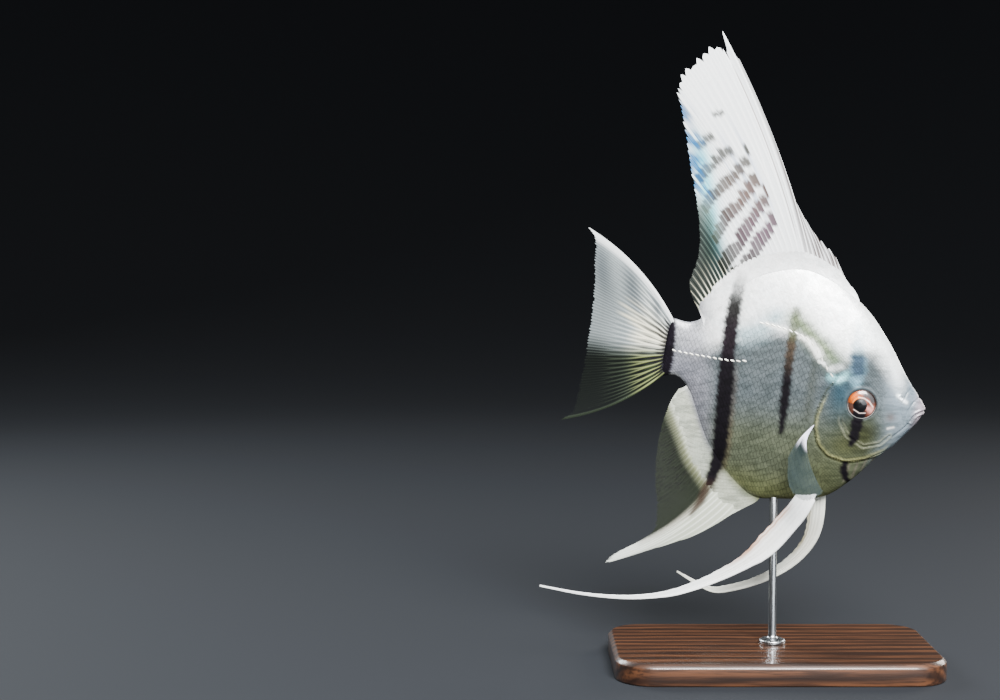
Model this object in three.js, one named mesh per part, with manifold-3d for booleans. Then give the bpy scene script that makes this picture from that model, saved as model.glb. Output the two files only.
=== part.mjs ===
// A freshwater angelfish (Pterophyllum scalare), life size, as a still museum model on a plain
// display stand: one rod rises from a flat base into the belly. All lengths are millimetres.
//
// The fish is shaped in a frame of its own: the snout tip is the origin, x points forward, y to
// the fish's left and z up its back, so a place on it is given by its distance behind the snout
// ("back") and its height. The finished fish is then pitched nose down, turned and set on its rod.
import * as THREE from "three";
import { mergeVertices } from "three/addons/utils/BufferGeometryUtils.js";
import Module from "manifold-3d";

const wasm = await Module();
wasm.setup();

// ---------------------------------------------------------------- driving dimensions

const BODY_LENGTH = 83.5; // snout tip to the end of the flesh, at the root of the tail fin
const GAP = 0.3; // clear space between neighbouring pieces
const NOSE_DOWN = THREE.MathUtils.degToRad(10);
const TURNED = THREE.MathUtils.degToRad(10); // the head swings to the fish's own right
const SNOUT = new THREE.Vector3(46.7, -8.24, 84.2); // where the snout tip is over the stand

// Outlines of the flesh, without the fins, as [back, height].
const BACK_EDGE = [
  [0, -0.6], [0.25, 0.5], [1, 1.5], [3.3, 4.1], [7.9, 9.3], [14.8, 18.4], [22.1, 26.2], [28.4, 30.8],
  [36, 35], [45, 37.2], [54, 35.4], [62, 31], [69, 23.2], [73.5, 16.4], [78, 13.5], [BODY_LENGTH, 13.7],
];
const BELLY_EDGE = [
  [0, -0.6], [0.25, -2], [1, -3.8], [4.3, -9.2], [8.1, -14.6], [12.8, -20], [18.9, -27.8], [25, -33.6],
  [32, -36.2], [40, -37.7], [47, -38.8], [52, -37], [59, -31.8], [66.5, -23.5], [71.4, -14.5],
  [75.5, -7.4], [79.5, -4.7], [BODY_LENGTH, -5.5],
];
const HALF_WIDTH = [
  [0, 0], [0.25, 1.1], [1, 1.9], [4, 3.1], [10, 4.5], [20, 6], [31, 6.8], [42, 6.4], [54, 5.2],
  [66, 3.7], [75, 2.5], [BODY_LENGTH, 1.5],
];
const WIDEST_HEIGHT = [[0, -0.6], [10, -2], [20, -3], [35, -3], [50, 0], [70, 3.6], [BODY_LENGTH, 4.2]];
// How sharp the ridge along each edge is: 0.5 is round, 1 is a wedge.
const BACK_SHARPNESS = [[0, 0.5], [12, 0.6], [24, 0.68], [34, 0.8], [66, 0.85], [BODY_LENGTH, 0.6]];
const BELLY_SHARPNESS = [[0, 0.5], [18, 0.55], [44, 0.5], [54, 0.8], [70, 0.85], [BODY_LENGTH, 0.6]];
const BACK_FULLNESS = 1.8;
const BELLY_FULLNESS = 2.2;

// The tail end sways to the fish's right, more and more behind this place.
const SWAY_FROM = 45;
const SWAY_AT_TAIL_ROOT = -1.6;

const EYE = { back: 20, height: -2.2, radius: 4.75, dome: 1.35, depth: 4, sunk: 0.55, facing: 0.11 };
const MOUTH_TIP = [-2, -0.7];
const MOUTH_CORNER = [4.6, -3.4];
const JAW_HINGE = [7.6, -9.5];
const LIP_TOP = [2.4, 3.2];
const NAPE = [26.2, 33];
const THROAT = [19.5, -31.5];
const TAIL_STALK_FROM = 73;
const GILL_COVER_PROUD = 0.4;
const GILL_COVER_THICK = 1.7;
const GILL_COVER = [
  [28.6, 4.6], [31.4, -0.6], [33, -8], [32.7, -14.4], [29.6, -18.8], [24, -21.1], [17.5, -20.2], [10.6, -16],
  [14.6, -14.8], [20, -12.8], [24.2, -9], [26.2, -2.4], [26.6, 3.2],
];

// Fans of rays in the middle plane. Each tip is [share of the root's length, back, height].
const DORSAL_FIN = {
  rootFrom: 27.2, rootTo: 74.6, edge: BACK_EDGE, up: 1, rays: 28, rows: 5, bow: 0.03, lean: 1.8,
  tips: [
    [0, 28.4, 32.2], [0.06, 32.6, 36.2], [0.13, 37, 42.4], [0.22, 43.8, 47.6], [0.29, 50, 52.8],
    [0.355, 55.6, 62.6], [0.41, 63.5, 75], [0.475, 75, 94.4], [0.518, 84, 105.1], [0.565, 91, 97.4],
    [0.61, 95.4, 87.6], [0.68, 91.6, 76.2], [0.75, 87, 62.8], [0.83, 82.4, 50], [0.905, 80.2, 38.6],
    [0.965, 80.4, 27.5], [1, 77.4, 18.8],
  ],
};
const ANAL_FIN = {
  rootFrom: 46.2, rootTo: 75.6, edge: BELLY_EDGE, up: -1, rays: 24, rows: 4, bow: -0.07, lean: -1.4,
  tips: [
    [0, 48.6, -41.4], [0.053, 55, -46.6], [0.11, 64.4, -54.9], [0.163, 77.4, -62.2], [0.21, 90, -68.8],
    [0.26, 88.4, -65.6], [0.33, 81.4, -60], [0.4, 77.4, -55.4], [0.49, 77.6, -48.6], [0.595, 79.6, -40],
    [0.73, 80.9, -31], [0.87, 80.8, -20.4], [0.95, 79.4, -13], [1, 77.6, -8.4],
  ],
};
const TAIL_FIN = {
  rays: 17, rows: 4, bow: 0.07, lean: -1.2,
  tips: [
    [0, 115, 37.6], [0.06, 112.4, 34.6], [0.2, 111, 26], [0.35, 109.6, 16.4], [0.5, 109, 6],
    [0.65, 108.8, -4], [0.8, 109, -14], [0.94, 109.8, -22], [1, 113.4, -25.4],
  ],
};
const RAY_NOTCH = 0.05; // how far the free edge falls back between two rays
const MEDIAN_FIN_THICK = [1.5, 0.55]; // at the root and at the tips
// The side fins: root and tips as [share, back, height, out from the flesh].
const PECTORAL_FIN = {
  root: [[0, 33.3, -11.4, -0.6], [1, 35, -16.6, -0.6]], rays: 9, rows: 3, bow: 0.06,
  tips: [
    [0, 39.4, -22.4, 6.6], [0.25, 38, -29.6, 8.6], [0.5, 35, -33.2, 10], [0.75, 31.2, -34, 10.6], [1, 26.6, -30.6, 9.4],
  ],
  thick: [1.2, 0.55],
};
// The long blades under the breast: a centre line as [back, out, height], and widths along it.
const PELVIC_FINS = {
  right: {
    line: [
      [31.2, 1.9, -34.4], [33.3, 2.7, -39.7], [36.5, 3.6, -45.3], [40, 4.3, -51.1], [44, 5, -56.4],
      [49.1, 5.8, -61.2], [55, 6.6, -65.7], [61, 7.4, -69.6], [69, 8.4, -73.6], [81, 9.8, -76.8],
      [95, 11.3, -78.1], [109, 13, -77.7],
    ],
    widths: [[0, 6.2], [0.06, 6.9], [0.2, 7.2], [0.255, 6.2], [0.29, 4.9], [0.4, 3.5], [0.52, 2.6], [0.63, 1.7], [0.8, 1.1], [1, 0.6]],
  },
  left: {
    line: [
      [28, 1.9, -33.8], [27.2, 3, -41.2], [27.2, 4.4, -47.2], [28.6, 5.4, -52], [31, 6.3, -56.4], [34, 7.2, -60.2],
      [38, 8.1, -64], [43.5, 9.1, -68], [49.5, 10, -71.2], [55, 10.8, -73.2], [60.6, 11.6, -72.4], [68.2, 12.4, -69.9],
    ],
    widths: [[0, 5.2], [0.12, 5.4], [0.25, 4.4], [0.42, 3.5], [0.6, 2.6], [0.75, 2.3], [0.86, 1.5], [1, 0.6]],
  },
};
const PELVIC_THICK = [[0, 1.5], [0.2, 1.3], [0.6, 0.9], [1, 0.6]];

const STAND = { length: 104, depth: 60, height: 7, corner: 12, chamfer: 1.4, rodRadius: 1.25, rodInto: 4 };
const ROD_FOOT = { radius: 4.2, height: 1.4 };

// ---------------------------------------------------------------- curves

// A smooth curve through [x, y, ...] points, read at any x, with slopes taken from the neighbours.
function through(points, column = 1) {
  const slope = (i) => {
    const [a, b] = [points[Math.max(i - 1, 0)], points[Math.min(i + 1, points.length - 1)]];
    return (b[column] - a[column]) / (b[0] - a[0]);
  };
  return (x) => {
    let i = 0;
    while (i < points.length - 2 && points[i + 1][0] <= x) i++;
    const width = points[i + 1][0] - points[i][0];
    const rise = points[i + 1][column] - points[i][column];
    const t = THREE.MathUtils.clamp((x - points[i][0]) / width, 0, 1);
    const [from, to] = [slope(i) * width, slope(i + 1) * width];
    return points[i][column] + t * from + t * t * (3 * rise - 2 * from - to) + t * t * t * (from + to - 2 * rise);
  };
}

// The same, drawn over the square root of the distance behind the snout, so that the nose is round.
function overRoot(points) {
  const curve = through(points.map(([back, value]) => [Math.sqrt(back), value]));
  return (back) => curve(Math.sqrt(Math.max(back, 0)));
}

// The place at each share of an edge's length between two places on it.
function alongEdge(height, from, to, steps = 120) {
  const lengths = [[0, from]];
  for (let i = 1; i <= steps; i++) {
    const [before, here] = [i - 1, i].map((k) => THREE.MathUtils.lerp(from, to, k / steps));
    lengths.push([lengths[i - 1][0] + Math.hypot(here - before, height(here) - height(before)), here]);
  }
  const total = lengths[steps][0];
  return through(lengths.map(([length, back]) => [length / total, back]));
}

const backEdge = overRoot(BACK_EDGE);
const bellyEdge = overRoot(BELLY_EDGE);
const halfWidth = overRoot(HALF_WIDTH);
const widestHeight = through(WIDEST_HEIGHT);
const backSharpness = through(BACK_SHARPNESS);
const bellySharpness = through(BELLY_SHARPNESS);

function sway(back) {
  const past = Math.max(back - SWAY_FROM, 0) / (BODY_LENGTH - SWAY_FROM);
  return SWAY_AT_TAIL_ROOT * past * past;
}

function place(back, left, height) {
  return new THREE.Vector3(-back, left + sway(back), height);
}

// ---------------------------------------------------------------- solids

// A manifold-3d solid of points and triangles, turned right side out.
function manifold(points, triangles) {
  const build = (triVerts) => new wasm.Manifold(new wasm.Mesh({ numProp: 3, vertProperties: points, triVerts }));
  const made = build(triangles);
  return made.volume() > 0 ? made : build(triangles.toReversed());
}

function solidOf(geometry) {
  const bare = new THREE.BufferGeometry().setAttribute("position", geometry.getAttribute("position"));
  bare.setIndex(geometry.index);
  const merged = mergeVertices(bare, 1e-4);
  const triangles = [];
  for (let i = 0; i < merged.index.count; i += 3) {
    const [a, b, c] = [0, 1, 2].map((k) => merged.index.getX(i + k));
    if (a !== b && b !== c && c !== a) triangles.push(a, b, c);
  }
  return manifold(new Float32Array(merged.getAttribute("position").array), new Uint32Array(triangles));
}

function geometryOf(solid) {
  const mesh = solid.getMesh();
  return new THREE.BufferGeometry()
    .setAttribute("position", new THREE.BufferAttribute(new Float32Array(mesh.vertProperties), 3))
    .setIndex(new THREE.BufferAttribute(new Uint32Array(mesh.triVerts), 1));
}

// A closed solid from rings of points, each end closed with a fan round its middle.
function loft(rings) {
  const count = rings[0].length;
  const points = rings.flat();
  const faces = [];
  for (let i = 0; i + 1 < rings.length; i++) {
    for (let j = 0; j < count; j++) {
      const [a, b] = [i * count + j, i * count + ((j + 1) % count)];
      faces.push(a, b, b + count, a, b + count, a + count);
    }
  }
  for (const end of [0, rings.length - 1]) {
    const middle = rings[end].reduce((sum, p) => sum.clone().add(p)).multiplyScalar(1 / count);
    points.push(middle);
    for (let j = 0; j < count; j++) {
      const [a, b] = [end * count + j, end * count + ((j + 1) % count)];
      faces.push(points.length - 1, ...(end ? [a, b] : [b, a]));
    }
  }
  return manifold(new Float32Array(points.flatMap((p) => p.toArray())), new Uint32Array(faces));
}

// A slab through the fish, of an outline of [back, height] points, from one side to the other.
function slab(outline, fromLeft = -30, toLeft = 30) {
  const shape = new THREE.Shape(outline.map(([back, height]) => new THREE.Vector2(-back, height)));
  const extruded = new THREE.ExtrudeGeometry(shape, { depth: toLeft - fromLeft, bevelEnabled: false });
  return solidOf(extruded.rotateX(Math.PI / 2).translate(0, toLeft, 0));
}

// A smooth closed outline through clockwise points, moved outwards by a margin.
function smoothOutline(points, margin, count) {
  const curve = new THREE.CatmullRomCurve3(points.map(([back, height]) => new THREE.Vector3(back, height, 0)), true);
  return Array.from({ length: count }, (_, i) => {
    const at = curve.getPointAt(i / count);
    const along = curve.getTangentAt(i / count);
    return [at.x - along.y * margin, at.y + along.x * margin];
  });
}

// ---------------------------------------------------------------- the flesh

const BODY_STATIONS = 30;
const BODY_RING = 24;
const BODY_CROWDING = 1.4; // stations crowd towards the snout

// Half the thickness of the flesh at a share of the way from its widest height to an edge.
function halfThickness(back, share, upper) {
  const fullness = upper ? BACK_FULLNESS : BELLY_FULLNESS;
  const sharpness = upper ? backSharpness(back) : bellySharpness(back);
  return Math.max(1 - share ** fullness, 0) ** sharpness;
}

// The whole body, moved out by "grow" all over.
function body(grow) {
  const rings = [];
  for (let i = 0; i <= BODY_STATIONS; i++) {
    const back = Math.max(BODY_LENGTH * (i / BODY_STATIONS) ** BODY_CROWDING, 0.04);
    const middle = widestHeight(back);
    const width = Math.max(halfWidth(back) + grow, 0.05);
    const moved = back + grow * ((2 * back) / BODY_LENGTH - 1);
    const ring = [];
    for (let j = 0; j < BODY_RING; j++) {
      const turn = (j / BODY_RING) * 2 * Math.PI;
      const upper = j < BODY_RING / 2;
      const share = Math.abs(Math.sin(turn));
      const edge = upper ? backEdge(back) + grow : bellyEdge(back) - grow;
      const side = Math.abs(Math.cos(turn)) < 1e-6 ? 0 : Math.sign(Math.cos(turn));
      ring.push(place(moved, side * width * halfThickness(back, share, upper), middle + share * (edge - middle)));
    }
    rings.push(ring);
  }
  return loft(rings);
}

const whole = body(0);

// ---------------------------------------------------------------- head

const FAR = 60; // past the fish on every side

// All that lies in front of the line from the nape round the gill covers to the throat.
const inFrontOf = (margin) => slab([
  [-FAR, FAR], [NAPE[0] + margin, FAR], [NAPE[0] + margin, NAPE[1]], [30.4 + margin, 6], [31 + margin, -16.5],
  [24.6 + margin, -25], [THROAT[0] + margin, THROAT[1]], [THROAT[0] + margin, -FAR], [-FAR, -FAR],
]);

// All that lies below the mouth line and in front of the jaw hinge.
const belowMouth = (margin) => slab([
  [-FAR, MOUTH_TIP[1] + margin], [MOUTH_TIP[0], MOUTH_TIP[1] + margin], [MOUTH_CORNER[0] + margin, MOUTH_CORNER[1] + margin],
  [JAW_HINGE[0] + margin, JAW_HINGE[1]], [JAW_HINGE[0] + margin, -FAR], [-FAR, -FAR],
]);

// The upper lip: a wedge between the mouth line and a line up the front of the snout.
const upperLip = (margin) => slab([
  [-FAR, 10], [LIP_TOP[0] + margin, 10], [LIP_TOP[0] + margin, LIP_TOP[1]], [MOUTH_CORNER[0] + margin, -0.4],
  [MOUTH_CORNER[0] + margin, -10], [-FAR, -10],
]);

function gillCover(side) {
  const [from, to] = side > 0 ? [1, 30] : [-30, -1];
  const plate = body(GILL_COVER_PROUD).subtract(body(-GILL_COVER_THICK));
  return {
    plate: plate.intersect(slab(smoothOutline(GILL_COVER, 0, 28), from, to)),
    room: slab(smoothOutline(GILL_COVER, GAP, 28), from, to).subtract(body(-GILL_COVER_THICK - GAP)),
  };
}

// An eyeball flatter outside than inside, as a turned profile that faces out and a little forward.
function eyeball(side, grow) {
  const steps = 8;
  const profile = Array.from({ length: steps + 1 }, (_, i) => {
    const turn = (i / steps - 0.5) * Math.PI;
    const reach = (turn > 0 ? EYE.dome : EYE.depth) + grow;
    const onAxis = i === 0 || i === steps;
    return new THREE.Vector2(onAxis ? 0 : (EYE.radius + grow) * Math.cos(turn), reach * Math.sin(turn));
  });
  const ball = new THREE.LatheGeometry(profile, 18);
  if (side < 0) ball.rotateX(Math.PI);
  ball.rotateZ(-side * EYE.facing);
  return solidOf(ball.translate(-EYE.back, side * (halfWidth(EYE.back) - EYE.sunk), EYE.height));
}

const gillCovers = { right: gillCover(-1), left: gillCover(1) };
const withoutGillCovers = whole.subtract(gillCovers.right.room).subtract(gillCovers.left.room);
const headAndJaws = withoutGillCovers.intersect(inFrontOf(0)).subtract(eyeball(-1, GAP)).subtract(eyeball(1, GAP));
const lowerJaw = headAndJaws.intersect(belowMouth(0));
const aboveMouth = headAndJaws.subtract(belowMouth(GAP));
const upperJaw = aboveMouth.intersect(upperLip(0));
const head = aboveMouth.subtract(upperLip(GAP));

// ---------------------------------------------------------------- trunk, tail stalk and rod

// The fish over the stand.
const fish = new THREE.Group();
fish.position.copy(SNOUT);
fish.rotation.set(0, NOSE_DOWN, -TURNED, "ZYX");
fish.updateMatrix();

// The height at which the upright line through the middle of the base meets the belly.
function bellyOverRod() {
  let nearest = new THREE.Vector3(FAR, 0, 0);
  for (let back = 30; back < 55; back += 0.1) {
    const over = place(back, 0, bellyEdge(back)).applyMatrix4(fish.matrix);
    if (Math.abs(over.x) < Math.abs(nearest.x)) nearest = over;
  }
  return nearest.z;
}

const rodTop = bellyOverRod() + STAND.rodInto;
const behind = (from) => slab([[from, FAR], [3 * FAR, FAR], [3 * FAR, -FAR], [from, -FAR]]);

function rodRoom() {
  const [radius, length] = [STAND.rodRadius + GAP, rodTop + GAP - STAND.height];
  const room = new THREE.CylinderGeometry(radius, radius, length, 16).rotateX(Math.PI / 2);
  return solidOf(room.translate(0, 0, STAND.height + length / 2).applyMatrix4(fish.matrix.clone().invert()));
}

const trunkAndStalk = withoutGillCovers.subtract(inFrontOf(GAP));
const trunk = trunkAndStalk.subtract(behind(TAIL_STALK_FROM)).subtract(rodRoom());
const tailStalk = trunkAndStalk.intersect(behind(TAIL_STALK_FROM + GAP));

// ---------------------------------------------------------------- fins

// A fan of rays as a thin closed sheet. The columns fall on the rays and half way between them,
// where the free edge is notched. root and tip give a point at a share of the way across the fan,
// bow and face the ray's arch there and the way the sheet faces.
function fan({ rays, rows, root, tip, bow, face, thick }) {
  const rings = [];
  for (let i = 0; i <= 2 * rays - 2; i++) {
    const across = i / (2 * rays - 2);
    const from = root(across);
    const run = tip(across).sub(from).multiplyScalar(i % 2 ? 1 - RAY_NOTCH : 1);
    const arch = new THREE.Vector3().crossVectors(run, face(across)).multiplyScalar(bow(across));
    const [near, far] = [[], []];
    for (let j = 0; j <= rows; j++) {
      const along = j / rows;
      const at = from.clone().addScaledVector(run, along).addScaledVector(arch, 4 * along * (1 - along));
      const half = THREE.MathUtils.lerp(thick[0], thick[1], Math.min(2 * along, 1)) / 2;
      near.push(at.clone().addScaledVector(face(across), -half));
      far.unshift(at.clone().addScaledVector(face(across), half));
    }
    rings.push([...near, ...far]);
  }
  return loft(rings);
}

const LEFT = new THREE.Vector3(0, 1, 0);
const constant = (value) => () => value;

// A fin along the back or the belly, standing clear of the flesh by the gap.
function edgeFin({ rootFrom, rootTo, edge, up, rays, rows, bow, lean, tips }) {
  const [height, tipBack, tipHeight] = [overRoot(edge), through(tips), through(tips, 2)];
  const rootBack = alongEdge(height, rootFrom, rootTo);
  return fan({
    rays, rows, bow: constant(-bow), face: constant(LEFT), thick: MEDIAN_FIN_THICK,
    root: (across) => {
      const back = rootBack(across);
      const out = new THREE.Vector2(height(back - 0.5) - height(back + 0.5), 1).normalize();
      return place(back + up * out.x * GAP, 0, height(back) + up * out.y * GAP);
    },
    tip: (across) => place(tipBack(across), lean * across, tipHeight(across)),
  });
}

function tailFin({ rays, rows, bow, lean, tips }) {
  const [tipBack, tipHeight] = [through(tips), through(tips, 2)];
  const [top, bottom] = [backEdge(BODY_LENGTH), bellyEdge(BODY_LENGTH)];
  return fan({
    rays, rows, bow: (across) => bow * (2 * across - 1), face: constant(LEFT), thick: MEDIAN_FIN_THICK,
    root: (across) => place(BODY_LENGTH + GAP, 0, THREE.MathUtils.lerp(top, bottom, across)),
    tip: (across) => place(tipBack(across), lean, tipHeight(across)),
  });
}

// How far out the flesh reaches at a place on its side.
function flank(back, height) {
  const upper = height > widestHeight(back);
  const edge = upper ? backEdge(back) : bellyEdge(back);
  const share = Math.min((height - widestHeight(back)) / (edge - widestHeight(back)), 1);
  return halfWidth(back) * halfThickness(back, share, upper);
}

const clearOfFlesh = body(GAP);

function pectoralFin(side) {
  const { root, rays, rows, bow, tips, thick } = PECTORAL_FIN;
  const rootOut = flank(root[0][1], root[0][2]);
  const at = (points) => {
    const [back, height, out] = [1, 2, 3].map((column) => through(points, column));
    return (across) => place(back(across), side * (rootOut + out(across)), height(across));
  };
  const [from, to] = [at(root), at(tips)];
  const across = to(0).sub(to(1));
  const face = new THREE.Vector3().crossVectors(to(0.5).sub(from(0.5)), across).normalize();
  const made = fan({ rays, rows, root: from, tip: to, bow: constant(side * bow), face: constant(face), thick });
  return made.subtract(clearOfFlesh).subtract(gillCovers[side < 0 ? "right" : "left"].room);
}

// A long blade carried along its centre line, thicker at its front edge than at its rear one.
function pelvicFin(side, { line, widths }) {
  const curve = new THREE.CatmullRomCurve3(line.map(([back, out, height]) => place(back, side * out, height)));
  const [width, thick] = [through(widths), through(PELVIC_THICK)];
  const [stations, around] = [22, 8];
  const rings = Array.from({ length: stations + 1 }, (_, i) => {
    const along = i / stations;
    const [centre, forward] = [curve.getPointAt(along), curve.getTangentAt(along)];
    const across = new THREE.Vector3().crossVectors(forward, LEFT).normalize();
    const face = new THREE.Vector3().crossVectors(across, forward);
    return Array.from({ length: around }, (_, j) => {
      const turn = ((j + 0.5) / around) * 2 * Math.PI;
      const [c, s] = [Math.cos(turn), Math.sin(turn)];
      const frontness = 1 - 0.3 * c;
      return centre.clone()
        .addScaledVector(across, (c * width(along)) / 2)
        .addScaledVector(face, (s * frontness * thick(along)) / 2);
    });
  });
  return loft(rings).subtract(clearOfFlesh);
}

// ---------------------------------------------------------------- stand

function standBase() {
  const { length, depth, height, corner, chamfer } = STAND;
  const [x, y] = [length / 2 - chamfer, depth / 2 - chamfer];
  const r = corner - chamfer;
  const shape = new THREE.Shape()
    .absarc(x - r, y - r, r, 0, Math.PI / 2)
    .absarc(r - x, y - r, r, Math.PI / 2, Math.PI)
    .absarc(r - x, r - y, r, Math.PI, 1.5 * Math.PI)
    .absarc(x - r, r - y, r, 1.5 * Math.PI, 2 * Math.PI);
  const plate = new THREE.ExtrudeGeometry(shape, {
    depth: height - 2 * chamfer, bevelThickness: chamfer, bevelSize: chamfer, bevelSegments: 1, curveSegments: 6,
  });
  return solidOf(plate.translate(0, 0, chamfer));
}

function standRod() {
  const [foot, top] = [STAND.height + GAP, rodTop];
  const profile = [
    [0, foot], [ROD_FOOT.radius, foot], [ROD_FOOT.radius, foot + ROD_FOOT.height * 0.6],
    [ROD_FOOT.radius - 0.6, foot + ROD_FOOT.height], [STAND.rodRadius + 0.5, foot + ROD_FOOT.height],
    [STAND.rodRadius, foot + ROD_FOOT.height + 0.6], [STAND.rodRadius, top - 0.4], [STAND.rodRadius - 0.4, top], [0, top],
  ].map(([radius, height]) => new THREE.Vector2(radius, height));
  return solidOf(new THREE.LatheGeometry(profile, 16).rotateX(Math.PI / 2));
}

// ---------------------------------------------------------------- the model

const PEARL_SKIN = new THREE.MeshStandardMaterial({ color: 0xc9cfc8, roughness: 0.35, metalness: 0.15 });
const FIN = new THREE.MeshStandardMaterial({ color: 0xdfe4e2, roughness: 0.4, metalness: 0 });
const EYEBALL = new THREE.MeshStandardMaterial({ color: 0x6a3f1c, roughness: 0.1, metalness: 0 });
const DARK_WOOD = new THREE.MeshStandardMaterial({ color: 0x2e1f17, roughness: 0.45, metalness: 0 });
const STEEL = new THREE.MeshStandardMaterial({ color: 0xb8bcc0, roughness: 0.3, metalness: 1 });

function piece(name, solid, material) {
  const mesh = new THREE.Mesh(geometryOf(solid), material);
  mesh.name = name;
  return mesh;
}

fish.add(
  piece("head", head, PEARL_SKIN),
  piece("upper_jaw", upperJaw, PEARL_SKIN),
  piece("lower_jaw", lowerJaw, PEARL_SKIN),
  piece("trunk", trunk, PEARL_SKIN),
  piece("tail_stalk", tailStalk, PEARL_SKIN),
  piece("dorsal_fin", edgeFin(DORSAL_FIN), FIN),
  piece("anal_fin", edgeFin(ANAL_FIN), FIN),
  piece("tail_fin", tailFin(TAIL_FIN), FIN),
);
for (const [name, side] of Object.entries({ right: -1, left: 1 })) {
  fish.add(
    piece(`gill_cover_${name}`, gillCovers[name].plate, PEARL_SKIN),
    piece(`eye_${name}`, eyeball(side, 0), EYEBALL),
    piece(`pectoral_fin_${name}`, pectoralFin(side), FIN),
    piece(`pelvic_fin_${name}`, pelvicFin(side, PELVIC_FINS[name]), FIN),
  );
}

const model = new THREE.Group();
model.add(fish, piece("stand_base", standBase(), DARK_WOOD), piece("stand_rod", standRod(), STEEL));

export default model;
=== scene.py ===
# %% [markdown]
# # A life-size angelfish on a display stand
#
# A museum fish is cast in one piece, painted, and held by a rod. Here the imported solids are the
# fixed frame: they say where each piece is and how big. Every visible surface is then made anew
# around them from formulas, because a fish is all smooth curves, thin rays and small scales. The
# script starts with the frame and its measures, goes on to the flesh, the skin, the scales, the
# fins and the eyes, and ends with the stand and the studio.

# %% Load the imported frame
import bpy
import numpy as np
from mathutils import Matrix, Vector


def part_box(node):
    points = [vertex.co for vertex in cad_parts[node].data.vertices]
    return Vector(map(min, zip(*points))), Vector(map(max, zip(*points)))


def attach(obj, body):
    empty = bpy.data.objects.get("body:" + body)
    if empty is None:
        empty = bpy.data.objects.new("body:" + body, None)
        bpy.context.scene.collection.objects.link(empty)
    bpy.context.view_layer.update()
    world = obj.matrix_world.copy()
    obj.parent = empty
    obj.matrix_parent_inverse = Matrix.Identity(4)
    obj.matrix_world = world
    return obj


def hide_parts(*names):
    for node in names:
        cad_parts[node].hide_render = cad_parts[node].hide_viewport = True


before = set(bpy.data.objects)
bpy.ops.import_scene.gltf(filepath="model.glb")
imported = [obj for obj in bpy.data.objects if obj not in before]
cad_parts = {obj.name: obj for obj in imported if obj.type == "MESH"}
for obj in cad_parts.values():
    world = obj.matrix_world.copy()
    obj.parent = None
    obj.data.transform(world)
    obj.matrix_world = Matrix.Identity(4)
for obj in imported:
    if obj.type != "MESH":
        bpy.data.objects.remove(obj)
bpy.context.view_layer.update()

print("nodes in the frame:", len(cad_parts))

# %% [markdown]
# ## The fish's own frame
#
# A fish is easiest to measure along itself. A place is given in millimetres by its distance behind
# the snout tip ("back"), its distance to the fish's left, and its height above the snout's line.
# One function then tips the nose down, turns the head, and moves the snout to its place over the
# stand. Doing this to the numbers keeps every object at the origin, unturned.

# %% Turn fish measures into world metres
SNOUT = np.array([46.7, -8.24, 84.2])
NOSE_DOWN = np.radians(10)
TURNED = np.radians(10)
BODY_LENGTH = 83.5
SWAY_FROM = 45
SWAY_AT_TAIL_ROOT = -1.6


def sway(back):
    """The middle plane's shift to the left, growing as the square of the way down the tail."""
    past = np.maximum(back - SWAY_FROM, 0) / (BODY_LENGTH - SWAY_FROM)
    return SWAY_AT_TAIL_ROOT * past**2


def place(back, left, height):
    """Points of the fish's frame, which is (ahead of the snout, to the left, up)."""
    return np.stack(np.broadcast_arrays(-np.asarray(back, float), left + sway(back), height), -1)


def to_world(points):
    """Points of the fish's frame in mm, made world points in metres."""
    ahead, left, height = np.moveaxis(np.asarray(points, float), -1, 0)
    level = ahead * np.cos(NOSE_DOWN) + height * np.sin(NOSE_DOWN)
    up = height * np.cos(NOSE_DOWN) - ahead * np.sin(NOSE_DOWN)
    x = level * np.cos(TURNED) + left * np.sin(TURNED)
    y = left * np.cos(TURNED) - level * np.sin(TURNED)
    return (np.stack([x, y, up], -1) + SNOUT) / 1000


print("snout tip at", to_world(place(0, 0, 0)).round(4))

# %% [markdown]
# ## Curves through measured points
#
# A profile is drawn as a curve through a few measured points, as a draughtsman bends a spline. Each
# point's slope comes from its two neighbours. Near the snout the curve is drawn over the square root
# of the distance, so that the nose comes out round.

# %% Curves, soft steps and distances
def through(points):
    """A smooth cubic through [x, y, ...] rows: a function of x, with slopes from the neighbours."""
    table = np.array(points, float)
    x, y = table[:, 0], table[:, 1:]
    before = np.maximum(np.arange(len(x)) - 1, 0)
    after = np.minimum(np.arange(len(x)) + 1, len(x) - 1)
    slope = (y[after] - y[before]) / (x[after] - x[before])[:, None]

    def at(q):
        """The curve's value at q, held at its ends."""
        q = np.asarray(q, float)
        i = np.clip(np.searchsorted(x, q, "right") - 1, 0, len(x) - 2)
        width = (x[i + 1] - x[i])[..., None]
        t = np.clip((q - x[i])[..., None] / width, 0, 1)
        rise, start, end = y[i + 1] - y[i], slope[i] * width, slope[i + 1] * width
        value = y[i] + t * start + t**2 * (3 * rise - 2 * start - end) + t**3 * (start + end - 2 * rise)
        return value[..., 0] if y.shape[1] == 1 else value

    return at


def over_root(points):
    """The same curve drawn over the square root of x."""
    curve = through([[np.sqrt(back), value] for back, value in points])
    return lambda back: curve(np.sqrt(np.maximum(back, 0)))


def rise(x, low, high):
    """0 below low, 1 above high, and a smooth S between them."""
    t = np.clip((x - low) / (high - low), 0, 1)
    return t * t * (3 - 2 * t)


def hump(x, width):
    """A bell of height 1 at x = 0."""
    return np.exp(-((x / width) ** 2))


def from_line(back, height, line):
    """The distance of each place from a line of [back, height] points."""
    nearest = np.full(np.shape(back), np.inf)
    for (a, b), (c, d) in zip(line[:-1], line[1:]):
        run, climb = c - a, d - b
        t = np.clip(((back - a) * run + (height - b) * climb) / (run**2 + climb**2), 0, 1)
        nearest = np.minimum(nearest, np.hypot(back - a - t * run, height - b - t * climb))
    return nearest


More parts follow.
